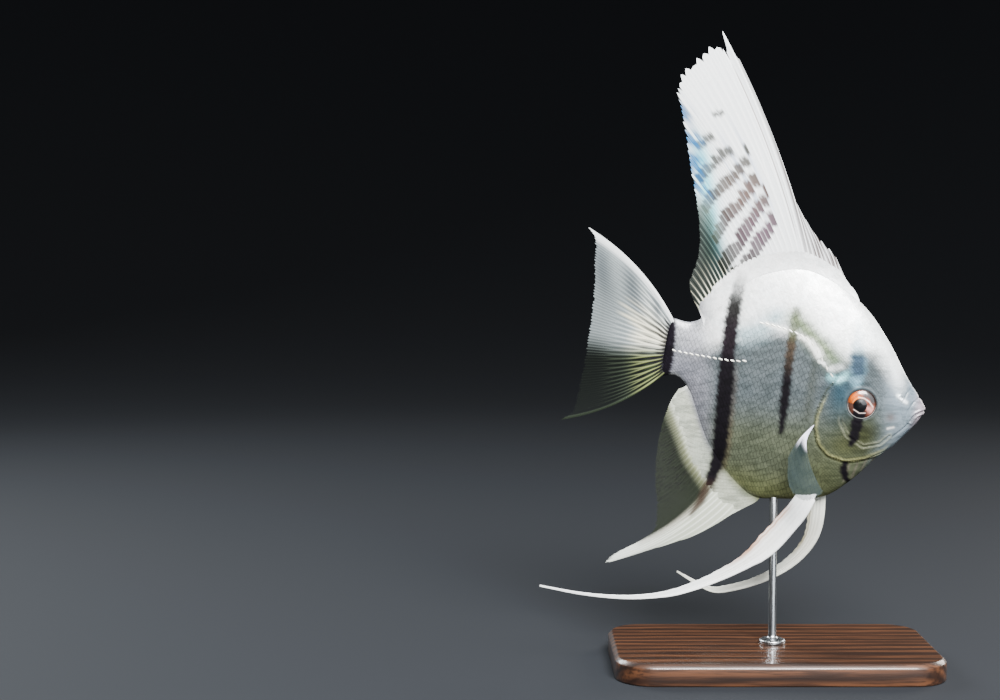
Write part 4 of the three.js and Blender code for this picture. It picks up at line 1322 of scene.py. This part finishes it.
def lay_sheath(name, fin, surface, half, cuts, high, seed):
    """Lays small plates on both faces of a fin along its rays, from inside the flesh out to high,
    in mm, which falls to about half at both ends of the fin as the root of a sine."""
    random = np.random.default_rng(seed)
    root_long = np.sum(np.linalg.norm(np.diff(fin[0](np.linspace(0, 1, 400)), axis=0), axis=1))
    rows = np.arange(1, int(root_long / SHEATH_ROW) - 1)
    j, i = np.meshgrid(rows, np.arange(int((high - SHEATH_FROM) / SHEATH_PITCH)), indexing="ij")
    share = (j * SHEATH_ROW / root_long).ravel()
    length = (SHEATH_FROM + (i + 0.5 * (j % 2)) * SHEATH_PITCH).ravel()
    reached = high * (0.55 + 0.45 * np.sin(np.pi * share) ** 0.5) * random.uniform(0.8, 1.0, len(share))
    kept = length < reached
    share, length = share[kept], length[kept]
    along, across, faces = plate_pattern(4)
    lift = 0.045 + 0.007 * (along + 1) / 2 + 0.002 * (1 - across**2)
    lift[-1] = SHEATH_UNDERSIDE
    wide = np.clip(share[:, None] + across * 1.1 * SHEATH_ROW / root_long, 0.001, 0.999)
    long = np.linalg.norm(fin[1](wide) - fin[0](wide), axis=-1)
    out = (length[:, None] + along * 0.8 * SHEATH_PITCH) / long
    cell, x = cells_of(wide, cuts)
    thick = half(wide, out, cell, x * 0, out * long) + lift
    middle = surface(wide, out)
    points = np.concatenate([middle + side * thick[..., None] * LEFTWARD for side in (-1, 1)])
    colours = np.concatenate([paint(-middle[..., 0], middle[..., 2])] * 2)
    rim = 0.9 * np.hypot(along, across)
    rim[-1] = 0
    shade = np.tile(random.uniform(0, 0.6, (len(share), 1)), (2, 1))
    up_map = 0.1 + 0.8 * (length - SHEATH_FROM) / (high - SHEATH_FROM + 2)
    uv = patches(0.02 + 0.46 * share, up_map, across, along)
    uv = np.concatenate([uv, uv + [0.5, 0]])
    return put_plates(name, points, faces, colours, uv, len(share), rim=rim, shade=shade)


lay_sheath("scales_dorsal_base", dorsal, dorsal_surface, dorsal_half, DORSAL_CUTS, DORSAL_SCALED, 31)
lay_sheath("scales_anal_base", anal, anal_surface, anal_half, ANAL_CUTS, ANAL_SCALED, 32)

# %% [markdown]
# ## The tail fin
#
# The tail is a fan on the end of the stalk. Its rays spread from a short upright root. The two
# outermost are the strongest and run out to points. Dark wedges sit between the roots, the middle
# is cream, and the lower part is dark and nearly clear.

# %% The tail fin
TAIL_CUTS = [[0, 0], [1, 18]]
TAIL_TIPS = [
    [0, 115, 37.6], [0.06, 112.4, 34.6], [0.2, 111, 26], [0.35, 109.6, 16.4], [0.5, 109, 6],
    [0.65, 108.8, -4], [0.8, 109, -14], [0.94, 109.8, -22], [1, 113.4, -25.4],
]
tail_outline = through(TAIL_TIPS)
tail_top, tail_bottom = BACK_EDGE(BODY_LENGTH), BELLY_EDGE(BODY_LENGTH)


def tail_root(across):
    """A place on the upright line down the end of the stalk."""
    return place(BODY_LENGTH + 0.3, 0.0, tail_top + (tail_bottom - tail_top) * across)


def tail_tip(across):
    """A place on the tail's outline."""
    at = tail_outline(across)
    return place(at[..., 0], -1.2, at[..., 1])


def tail_surface(across, along):
    """The tail's middle sheet. Its upper rays bow up and its lower ones down."""
    return fan_surface(tail_root, tail_tip, lambda a: 0.07 * (2 * a - 1), lambda a: LEFTWARD, across, along)


def tail_ray(across, along, x):
    """The ray pattern: one thick ray at each outer edge, forking rays between."""
    outer = np.minimum(across, 1 - across) < 0.05
    return np.where(outer, hump(x, 0.3), split_ray(x, along, 0.16, 0.55))


def tail_half(across, along, cell, x, length):
    """Half thickness in mm: thick over the flesh, then a thin sheet that swells at the rays."""
    ray = tail_ray(across, along, x)
    base = 0.05 + 0.5 * (1 - rise(length, -1, 6))
    end = 1 - rise(along, 0.88, 1.02)
    return (base + ray * (0.08 - 0.07 * along)) * (0.25 + 0.75 * end)


def tail_reach(cell, x, across):
    """The free edge, notched a little between the twigs."""
    return free_edge(cell, x, 4, 0.02, 7, 0.01)


def tail_look(across, along, cell, x, middle):
    """Cream rays in the middle with dark lines between, smoky above, dark and nearly clear below."""
    ray = tail_ray(across, along, x)
    length = along * np.linalg.norm(tail_tip(across) - tail_root(across), axis=-1)
    uneven = own_values(12)((cell * 2 + (x > 0)) * 11)
    outer = 1 - rise(length, 8, 20) * 0.75
    colour = mixed(rgb(134, 144, 146), rgb(214, 220, 220), ray * 0.7 * outer)
    cream = hump(across - 0.42, 0.17) * (1 - rise(length, 7 + 8 * uneven, 13 + 9 * uneven))
    colour = mixed(colour, RAY_CREAM, cream * (0.55 + 0.45 * ray))
    colour = mixed(colour, rgb(30, 42, 14), rise(across, 0.5, 0.66) * (1 - 0.04 * ray) * 0.98)
    low_rays = rise(across, 0.52, 0.64) * ray * (1 - rise(length, 5, 14))
    colour = mixed(colour, rgb(176, 186, 110), low_rays * 0.5)
    dark_line = hump(x - 0.42 * np.where(uneven > 0.5, 1, -1), 0.1) * (1 - rise(length, 6, 8 + 9 * uneven))
    dark_line = dark_line * rise(across, 0.15, 0.3) * 0.85
    wedge = (1 - rise(length, 1 + 3 * uneven, 2.5 + 6 * uneven)) * (1 - 0.8 * ray * rise(length, 0.6, 2))
    wedge = wedge * rise(across, 0.06, 0.16) * (1 - 0.5 * rise(across, 0.9, 1))
    colour = mixed(colour, rgb(10, 8, 14), np.clip(wedge + dark_line, 0, 1) * 0.95)
    smoke = hump(across - 0.19, 0.15) * (0.5 + 0.5 * np.sin(length * 0.5 + across * 19 + 2))
    colour = mixed(colour, rgb(74, 82, 88), smoke * rise(length, 3, 7) * (1 - 0.4 * ray) * 0.8)
    colour = mixed(colour, RAY_WHITE, (1 - rise(across, 0.04, 0.09)) * 0.9)
    cover = 0.95 - 0.5 * (1 - ray * outer) * rise(length, 3, 8)
    cover = cover - 0.42 * rise(across, 0.5, 0.68) * rise(length, 3, 8) * (1 - 0.2 * ray)
    cover = cover - 0.16 * rise(length, 12, 24) * rise(across, 0.1, 0.3)
    cover = cover + 0.3 * (1 - rise(across, 0.06, 0.14)) + 0.3 * rise(across, 0.965, 0.98)
    return colour, cover + wedge * 0.4


thick_sheet("fin_tail", ["tail_fin"], tail_surface, TAIL_CUTS, 24, 60, tail_half, tail_reach, tail_look)

# %% [markdown]
# ## The side fins
#
# The fin behind each gill cover is the fish's oar: a small fan, nearly clear, with a white fleshy
# root. It is held out from the body and swept down.

# %% The fins behind the gill covers
PECTORAL_ROOT = [[0, 33.3, -11.4, -0.6], [1, 35, -16.6, -0.6]]
PECTORAL_TIPS = [
    [0, 39.4, -22.4, 6.6], [0.25, 38, -29.6, 8.6], [0.5, 35, -33.2, 10], [0.75, 31.2, -34, 10.6],
    [1, 26.6, -30.6, 9.4],
]
PECTORAL_CUTS = [[0, 0], [1, 12]]


def pectoral_fin(side, sign):
    """A fan from a short root line on the flank to an outline held out from it, both as [share,
    back, height, out]. Its face is square to the lines between its middles and its corners."""
    out = float(flank(PECTORAL_ROOT[0][1], PECTORAL_ROOT[0][2]))

    def spot_on(line):
        """The places of a line on this side of the fish."""
        def at(across):
            """The line's place at a share across the fin."""
            back, height, away = np.moveaxis(through(line)(across), -1, 0)
            return place(back, sign * (out + away), height)
        return at

    root, tip = spot_on(PECTORAL_ROOT), spot_on(PECTORAL_TIPS)
    ends = [fixed(np.array([share])) for fixed, share in ((tip, 0.5), (root, 0.5), (tip, 0.0), (tip, 1.0))]
    face = np.cross(ends[0] - ends[1], ends[2] - ends[3])[0]
    face /= np.linalg.norm(face)

    def surface(across, along):
        """The fan's middle sheet, bowed a little."""
        bow = np.full(np.shape(across), sign * 0.06)
        return fan_surface(root, tip, lambda a: bow, lambda a: face, across, along)

    def half(across, along, cell, x, length):
        """Half thickness in mm: a fleshy root, then a thin sheet that swells at the rays."""
        ray = split_ray(x, along, 0.35, 0.6)
        base = 0.045 + 0.5 * (1 - rise(length, -0.5, 3.5))
        return (base + ray * (0.13 - 0.06 * along)) * (0.25 + 0.75 * (1 - rise(along, 0.88, 1.02)))

    def reach(cell, x, across):
        """The free edge, notched between the twigs, and different on each side of the fish."""
        return free_edge(cell, x, 4, 0.03, 10 + int(sign), 0.01)

    def look(across, along, cell, x, middle):
        """A white root and front edge, and a nearly clear fan."""
        ray = split_ray(x, along, 0.35, 0.6)
        length = along * np.linalg.norm(tip(across) - root(across), axis=-1)
        colour = mixed(rgb(32, 46, 48), rgb(74, 90, 92), ray * 0.4)
        fleshy = 1 - rise(length + 2.5 * across, 4.5, 7.5)
        streak = (1 - rise(across, 0.06, 0.2)) * (1 - rise(length, 5, 10))
        colour = mixed(colour, rgb(238, 236, 250), np.maximum(fleshy, streak))
        return colour, 0.3 + 0.08 * ray + 0.68 * np.maximum(fleshy, streak * 0.9)

    thick_sheet(
        f"fin_pectoral_{side}", [f"pectoral_fin_{side}"], surface, PECTORAL_CUTS, 16, 34, half, reach, look,
        sunk=1.0, face=face, material=clear_fin_material,
    )


pectoral_fin("right", -1)
pectoral_fin("left", 1)

# %% [markdown]
# ## The long blades under the breast
#
# An angelfish feels its way with two long fins under the breast: a broad white blade that draws out
# into a thread. Each is a strip carried along a measured line. Its front edge is the thick spine
# and the skin behind it is orange brown.

# %% The blades
PELVIC = {
    "right": dict(
        line=[
            [31.2, 1.9, -34.4], [33.3, 2.7, -39.7], [36.5, 3.6, -45.3], [40, 4.3, -51.1], [44, 5, -56.4],
            [49.1, 5.8, -61.2], [55, 6.6, -65.7], [61, 7.4, -69.6], [69, 8.4, -73.6], [81, 9.8, -76.8],
            [95, 11.3, -78.1], [109, 13, -77.7],
        ],
        widths=[
            [0, 6.2], [0.06, 6.9], [0.2, 7.2], [0.255, 6.2], [0.29, 4.9], [0.4, 3.5], [0.52, 2.6],
            [0.63, 1.7], [0.8, 1.1], [1, 0.6],
        ],
        skin=rgb(176, 112, 58), ray_colour=RAY_WHITE, thinner=0,
    ),
    "left": dict(
        line=[
            [28, 1.9, -33.8], [27.2, 3, -41.2], [27.2, 4.4, -47.2], [28.6, 5.4, -52], [31, 6.3, -56.4],
            [34, 7.2, -60.2], [38, 8.1, -64], [43.5, 9.1, -68], [49.5, 10, -71.2], [55, 10.8, -73.2],
            [60.6, 11.6, -72.4], [68.2, 12.4, -69.9],
        ],
        widths=[
            [0, 5.2], [0.12, 5.4], [0.25, 4.4], [0.42, 3.5], [0.6, 2.6], [0.75, 2.3], [0.86, 1.5], [1, 0.6],
        ],
        skin=rgb(150, 140, 104), ray_colour=rgb(214, 216, 206), thinner=0.2,
    ),
}
PELVIC_THICK = through([[0, 1.4], [0.2, 1.1], [0.6, 0.8], [1, 0.5]])


BLADE_RAYS = ((0.93, 2), (0.74, 0.75), (0.56, 0.6), (0.38, 0.45), (0.2, 0.33), (0.06, 0.28))
BLADE_SUNK = 0.035


def twig_lines(x, along):
    """Fine rays that run the length of the blade, each to its own end, closing up towards the
    thread."""
    amount = np.zeros(x.shape)
    for at, stops_at in BLADE_RAYS:
        amount = np.maximum(amount, hump(x - at, 0.055) * (1 - rise(along, stops_at - 0.1, stops_at)))
    return amount


def blade_path(sign, line):
    """The places of the blade's middle line, the way it runs there, the way across it and its
    face's normal, at a share along it."""
    knots = np.array(line, float)
    stops = place(knots[:, 0], sign * knots[:, 1], knots[:, 2])
    chord = np.cumsum(np.linalg.norm(np.diff(stops, axis=0, prepend=stops[:1]), axis=1))
    fine = through(np.column_stack([chord, stops]))(np.linspace(0, chord[-1], 1500))
    length = np.cumsum(np.linalg.norm(np.diff(fine, axis=0, prepend=fine[:1]), axis=1))
    total = length[-1]

    def spot_at(distance):
        """The place at a distance in mm from the root."""
        return np.stack([np.interp(distance, length, fine[:, k]) for k in range(3)], -1)

    def path(along):
        """Place, way across and normal, run straight on past the root."""
        inside = np.clip(along, 0, 1)
        forward = spot_at(inside * total + 0.4) - spot_at(inside * total - 0.4)
        forward /= np.linalg.norm(forward, axis=-1, keepdims=True)
        across = np.cross(forward, LEFTWARD)
        across /= np.linalg.norm(across, axis=-1, keepdims=True)
        middle = spot_at(inside * total) + forward * ((along - inside) * total)[..., None]
        return middle, across, np.cross(across, forward)

    return path


def blade(side, sign, line, widths, skin, ray_colour, thinner):
    """A strip: 1 across is its front edge and 0 its rear, along is the share of the line's length.
    Its thickness is a crown over its width that swells at the spine and the rays."""
    width_at = through(widths)
    columns, steps = np.linspace(0, 1, 49), np.linspace(-BLADE_SUNK, 1, 190)
    wide, along = np.broadcast_arrays(columns[:, None], steps[None, :])
    inside = np.clip(along, 0, 1)
    line_at, across_way, face = blade_path(sign, line)(along)
    ragged = 0.035 * np.sin(along * 160) + 0.025 * np.sin(along * 67 + 1)
    rear_out = 0.5 * width_at(inside) * (1 + ragged * rise(along, 0.05, 0.15))
    half_width = np.where(wide > 0.5, 0.5 * width_at(inside), rear_out) * np.where(along < 0, 0.8, 1)
    middle = line_at + across_way * ((2 * wide - 1) * half_width)[..., None]
    rays = twig_lines(wide, along)
    crown = np.sqrt(np.clip(1 - (2 * wide - 1) ** 6, 0, 1))
    swell = 0.16 + 0.52 * rise(wide, 0.55, 0.95) + 0.14 * rays
    narrow = 1 - rise(width_at(inside), 1.0, 3.0)
    half = 0.5 * PELVIC_THICK(inside) * np.maximum(swell * (1 - narrow) + 0.8 * narrow, 0.1) * crown + 0.015
    colour = mixed(ray_colour * 0.9, ray_colour, np.clip(rays + rise(wide, 0.6, 0.8), 0, 1))
    rear_skin = (1 - rise(wide, 0.12, 0.34)) * rise(along, 0.03, 0.1) * (1 - rise(along, 0.24, 0.42))
    colour = mixed(colour, mixed(skin, ray_colour, rays * 0.5), rear_skin * 0.85)
    dull = hump(wide - 0.5, 0.3) * rise(along, 0.05, 0.2) * (1 - rise(along, 0.3, 0.5))
    colour = mixed(colour, rgb(196, 190, 176), dull * 0.35)
    cover = 1 - 0.3 * rear_skin * (1 - rays) - 0.2 * (1 - rise(wide, 0.0, 0.1)) * (1 - narrow)
    cover = cover - thinner * (1 - rays) * (1 - rise(wide, 0.5, 0.8)) * (1 - narrow)
    spread = 0.01 + 0.47 * wide, 0.05 + 0.9 * (along + BLADE_SUNK) / (1 + BLADE_SUNK)
    put_fin(
        f"fin_pelvic_{side}", [f"pelvic_fin_{side}"], middle, face * half[..., None], colour,
        np.clip(cover, 0.1, 1), spread, fin_material, crisp=False,
    )


blade("right", -1, **PELVIC["right"])
blade("left", 1, **PELVIC["left"])

# %% [markdown]
# ## The eyes
#
# The eye is a flattened ball that bulges a little from its socket. The iris is a burning orange
# behind and above, dark where the bar crosses it and pink in front. A black pupil, edged with a
# brighter orange, sits a little low and back. Thin pale arcs by the pupil and a pale line along the
# lower rim are painted highlights. A glass eye is painted behind and polished in front, so the ball
# carries the paint and a thick clear coat.

# %% Make an eye
EYE_DOME = 1.35
EYE_DEPTH = 4.0
EYE_SUNK = 0.55
EYE_FACING = 0.11
PUPIL = (0.55, -0.3)
PUPIL_RADIUS = 2.2


def eye_paint(back, height, reach):
    """Colours by the place on the eye in mm from its middle: back of it, above it, and from it."""
    angle = np.mod(np.degrees(np.arctan2(height, back)), 360)
    iris = mixed(rgb(74, 34, 18), rgb(214, 100, 4), hump((angle - 42) / 34, 1.0))
    iris = mixed(iris, rgb(138, 62, 26), hump((angle - 80) / 24, 1.0) * 0.8)
    iris = mixed(iris, rgb(22, 11, 8), (1 - rise(np.abs(angle - 124), 28, 46)) * 0.96)
    inner, outer = 1 - rise(reach, 2.4, 3.2), 1 - rise(reach, 3.7, 4.2)
    iris = mixed(iris, rgb(150, 66, 34), hump((angle - 138) / 30, 1.0) * inner * 0.7)
    iris = mixed(iris, rgb(216, 150, 140), hump((angle - 200) / 20, 1.0) * outer * 0.95)
    iris = mixed(iris, rgb(70, 48, 40), hump((angle - 345) / 26, 1.0) * 0.8)
    below = (1 - rise(np.abs(back - 0.3), 1.6, 2.4)) * rise(-height, 1.6, 2.2)
    iris = mixed(iris, BAR_BLACK, below)
    from_pupil = np.hypot(back - PUPIL[0], height - PUPIL[1])
    bright = hump(from_pupil - PUPIL_RADIUS - 0.25, 0.2) * hump((angle - 40) / 50, 1.0)
    iris = mixed(iris, rgb(250, 150, 70), bright * 0.8)
    iris = mixed(iris, rgb(5, 5, 7), 1 - rise(from_pupil, PUPIL_RADIUS - 0.12, PUPIL_RADIUS + 0.04))
    iris = mixed(iris, rgb(30, 24, 22), rise(reach, 3.9, 4.3) * 0.5)
    # Thin pale arcs over and under the pupil: painted highlights.
    upper_highlight = near_line(back, height, [[1.5, 2.2], [-0.3, 2.15], [-2, 1.4], [-3.5, -0.1]], 0.17)
    lower_highlight = near_line(back, height, [[2.3, -1.9], [0.3, -2.75], [-1.5, -2.4]], 0.15)
    iris = mixed(iris, rgb(250, 226, 216), np.maximum(upper_highlight, 0.85 * lower_highlight) * 0.9)
    # A pale line along the lower rim of the eye: a painted highlight.
    iris = mixed(iris, rgb(206, 208, 204), hump(reach - 4.4, 0.12) * rise(-height, -1, 3.5) * 0.9)
    return mixed(iris, rgb(40, 34, 34), rise(reach, 4.45, 4.6))


eye_material, tree, shader = new_material(
    "glass_eye", roughness=0.3, coat_weight=1.0, coat_roughness=0.02, coat_ior=1.45, specular_ior_level=0.4,
)
threads = mapped(tree, noise(tree, 2400, 4, 0.65), 0.35, 0.7, 0, 0.4)
painted = mix(tree, threads, stored(tree, "paint", "Color"), rgb(120, 84, 60), "MULTIPLY")
tree.links.new(painted, shader.inputs["Base Color"])


def make_eye(side, sign):
    """Rings from the front of the eye to its back: the reach from its axis goes as the cosine of a
    latitude, and the stand-out as its sine times the dome in front or the depth behind."""
    front, behind = np.linspace(np.pi / 2, 0.0, 90)[1:], np.linspace(0, -np.pi / 2, 14)[1:-1]
    latitude = np.concatenate([front, behind])
    latitude, turn = np.meshgrid(latitude, np.arange(180) / 180 * 2 * np.pi, indexing="ij")
    reach = EYE_RADIUS * np.cos(latitude)
    out = np.where(latitude > 0, EYE_DOME, EYE_DEPTH) * np.sin(latitude)
    back, up = reach * np.cos(turn), reach * np.sin(turn)
    back, up, out, reach = (v.ravel() for v in (back, up, out, reach))
    back, up, reach = (np.append(v, [0, 0]) for v in (back, up, reach))
    out = np.append(out, [EYE_DOME, -EYE_DEPTH])
    bulge = 0.22 * (1 - rise(np.hypot(back - PUPIL[0], up - PUPIL[1]), 0.6, 2.3))
    out = out + bulge * (out > 0)
    turned_back = back * np.cos(EYE_FACING) - out * np.sin(EYE_FACING)
    turned_out = out * np.cos(EYE_FACING) + back * np.sin(EYE_FACING)
    middle = float(HALF_WIDTH(EYE_BACK)) - EYE_SUNK
    points = place(EYE_BACK + turned_back, sign * (middle + turned_out), EYE_HEIGHT + up)
    faces = closed_tube(*latitude.shape)
    eye = put_mesh(f"eyeball_{side}", to_world(points), *faces, eye_paint(back, up, reach))
    return finish_piece(eye, eye_material, "eye", f"eye_{side}")


make_eye("right", -1)
make_eye("left", 1)

# %% [markdown]
# ## The stand
#
# The stand is what a cabinet maker would turn out: a stained board with rounded corners and a small
# bevel, and a brushed steel rod with a foot. The board is a grid too: round its outline one way,
# and up its side and in over its top the other.

# %% The board and the rod
BOARD = dict(length=104, depth=60, height=7, corner=12)
BOARD_PROFILE = [
    [8, 0], [0.5, 0], [0.12, 0.12], [0, 0.5], [0, 5.3], [0.05, 5.6], [0.17, 5.83], [1.2, 6.85], [1.45, 6.97],
    [1.8, BOARD["height"]], [9, BOARD["height"]],
]
ROD_RADIUS = 1.25
ROD_FOOT = 4.2
ROD_LOW = 7.02
ROD_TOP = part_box("stand_rod")[1].z * 1000
ROD_PROFILE = [
    [ROD_FOOT, ROD_LOW], [ROD_FOOT, 7.9], [4.1, 8.15], [3.85, 8.35], [3.4, 8.55], [2.2, 8.75], [1.7, 8.95],
    [1.4, 9.4], [ROD_RADIUS, 10], [ROD_RADIUS, ROD_TOP - 0.5], [1, ROD_TOP - 0.1],
]


def put_rings(name, profile, turns, outline, low, high):
    """A closed solid from one ring for each [measure, height] of a profile in mm. outline gives a
    ring's x and y at a turn and a measure, and the poles are on the upright axis at low and high."""
    profile = np.array(profile)
    measure, turn = np.meshgrid(profile[:, 0], turns, indexing="ij")
    x, y = outline(turn, measure)
    points = np.stack([x, y, np.broadcast_to(profile[:, 1:], x.shape)], -1).reshape(-1, 3)
    points = np.concatenate([points, [[0, 0, low], [0, 0, high]]]) / 1000
    return put_mesh(name, points, *closed_tube(*x.shape))


def rounded_outline(turn, inset):
    """Points of a rectangle with round corners, moved in by an inset: a circle's points pushed out
    to the four corner centres, each by the sign of its cosine and sine."""
    radius = BOARD["corner"] - inset
    quarter = np.floor(turn / (np.pi / 2)) % 4
    x = np.where((quarter == 0) | (quarter == 3), 1, -1) * (BOARD["length"] / 2 - BOARD["corner"])
    y = np.where(quarter < 2, 1, -1) * (BOARD["depth"] / 2 - BOARD["corner"])
    return x + radius * np.cos(turn), y + radius * np.sin(turn)


corner_turns = (np.arange(4)[:, None] * np.pi / 2 + np.linspace(0.001, np.pi / 2 - 0.001, 14)).ravel()
board = put_rings("display_board", BOARD_PROFILE, corner_turns, rounded_outline, 0, BOARD["height"])
wood, tree, shader = new_material("stained_wood", coat_weight=0.45, coat_roughness=0.12, roughness=0.42)
rings = node(tree, "ShaderNodeTexCoord").outputs["Object"]
inputs = {"Vector": rings, "Location": (0.02, 0.055, 0.03), "Scale": (0.12, 1, 1)}
rings = node(tree, "ShaderNodeMapping", inputs).outputs[0]
inputs = {"Vector": rings, "Scale": 75.0, "Distortion": 4.5, "Detail": 3.0, "Detail Scale": 1.4}
rings = node(tree, "ShaderNodeTexWave", inputs, wave_type="RINGS", rings_direction="X").outputs["Fac"]
pores = noise(tree, 900, 4, 0.6, (0.05, 1, 1))
stain = mix(tree, rings, rgb(38, 22, 14), rgb(84, 52, 32))
stain = mix(tree, mapped(tree, pores, 0.42, 0.62, 0, 0.7), stain, rgb(24, 13, 8))
tree.links.new(stain, shader.inputs["Base Color"])
tree.links.new(bump(tree, pores, 0.00012, 0.5), shader.inputs["Normal"])
finish_piece(board, wood, "base_wood", "stand_base")


def circle(turn, radius):
    """Points of a circle."""
    return radius * np.cos(turn), radius * np.sin(turn)


rod_turns = np.arange(48) / 48 * 2 * np.pi
rod = put_rings("display_rod", ROD_PROFILE, rod_turns, circle, ROD_LOW, ROD_TOP)
steel, tree, shader = new_material("brushed_steel", metallic=1.0, anisotropic=0.5)
brushed = noise(tree, 2200, 3, 0.6, (1, 1, 0.03))
tree.links.new(mix(tree, brushed, rgb(150, 154, 158), rgb(205, 208, 210)), shader.inputs["Base Color"])
tree.links.new(mapped(tree, brushed, 0.3, 0.7, 0.22, 0.36), shader.inputs["Roughness"])
finish_piece(rod, steel, "rod_steel", "stand_rod")

# %% [markdown]
# ## The studio
#
# The stand sits on one wide sheet that is flat underneath and curves up far away all round, as a
# studio's paper backdrop does, so no horizon cuts behind the fish. Its paint darkens away from the
# stand, a painted falloff of light round the fish, so that pearl fins stand out against it. It is
# part of the studio, not of the model.

# %% The sheet under and behind
SHEET_RADIUS = 3.2
FLAT_RADIUS = 0.8


def sheet_height(distance):
    """The sheet's height at a distance from the stand in metres: 0 out to the flat part's radius,
    then growing as the square."""
    return np.maximum(distance - FLAT_RADIUS, 0) ** 2 * 0.55


distances = np.linspace(0, 1, 60) ** 1.6 * SHEET_RADIUS
reach, turn = np.meshgrid(distances, np.arange(72) / 72 * 2 * np.pi, indexing="ij")
sheet_points = np.stack([reach * np.cos(turn), reach * np.sin(turn), sheet_height(reach)], -1)
sheet = bpy.data.meshes.new("studio_sheet")
sheet.from_pydata(sheet_points.reshape(-1, 3).tolist(), [], quads_of(60, 72, wrap=True).tolist())
sheet.polygons.foreach_set("use_smooth", np.ones(len(sheet.polygons), bool))
studio = bpy.data.objects.new("studio_sheet", sheet)
bpy.context.scene.collection.objects.link(studio)
paper, tree, shader = new_material("studio_paper", roughness=0.85, specular_ior_level=0.2)
around = node(tree, "ShaderNodeTexCoord").outputs["Object"]
away = node(tree, "ShaderNodeVectorMath", {0: around}, operation="LENGTH").outputs["Value"]
# The paper's colour darkens with distance from the stand: a painted falloff of light.
shade = mix(tree, mapped(tree, away, 0.1, 1.2), rgb(28, 31, 36), rgb(9, 11, 15))
tree.links.new(shade, shader.inputs["Base Color"])
sheet.materials.append(paper)

# %% [markdown]
# ## Lights and camera
#
# The fish stands in light from above, so the strongest lamp shines down on it from in front. A wide
# weak one fills low from the side of its head, and two from behind rim the fins. The camera looks
# at the right side almost level, through a long lens that keeps the proportions true.

# %% Lamps and camera
def lamp(name, place, aim, size, power, tint):
    """A square soft lamp at a place in metres, turned to face a point."""
    data = bpy.data.lights.new(name, "AREA")
    data.size = size
    data.energy = power
    data.color = tint
    made = bpy.data.objects.new(name, data)
    made.location = place
    made.rotation_euler = (Vector(aim) - Vector(place)).to_track_quat("-Z", "Y").to_euler()
    bpy.context.scene.collection.objects.link(made)


AIM = (-0.02, 0, 0.11)
lamp("key", (0.12, -0.68, 0.68), AIM, 0.45, 45.0, (1.0, 1.0, 0.99))
lamp("fill", (0.45, -0.85, 0.2), AIM, 0.8, 7.0, (0.9, 0.95, 1.0))
lamp("rim_left", (-0.6, 0.55, 0.5), AIM, 0.35, 9.0, (0.92, 0.97, 1.0))
lamp("rim_right", (0.6, 0.5, 0.35), AIM, 0.35, 5.0, (1.0, 0.96, 0.9))
world = bpy.data.worlds.new("studio_air")
world.use_nodes = True
air = world.node_tree.nodes["Background"]
air.inputs["Color"].default_value = (0.3, 0.33, 0.37, 1)
air.inputs["Strength"].default_value = 0.45
bpy.context.scene.world = world

TARGET = Vector((-0.088, 0, 0.102))
DISTANCE = 0.6
ELEVATION = np.radians(4)
camera_data = bpy.data.cameras.new("camera")
camera_data.lens = 67.5
camera_data.sensor_width = 36
camera_data.clip_start = 0.01
camera = bpy.data.objects.new("camera", camera_data)
camera.location = TARGET + DISTANCE * Vector((0, -np.cos(ELEVATION), np.sin(ELEVATION)))
camera.rotation_euler = (TARGET - camera.location).to_track_quat("-Z", "Y").to_euler()
bpy.context.scene.collection.objects.link(camera)
bpy.context.scene.camera = camera
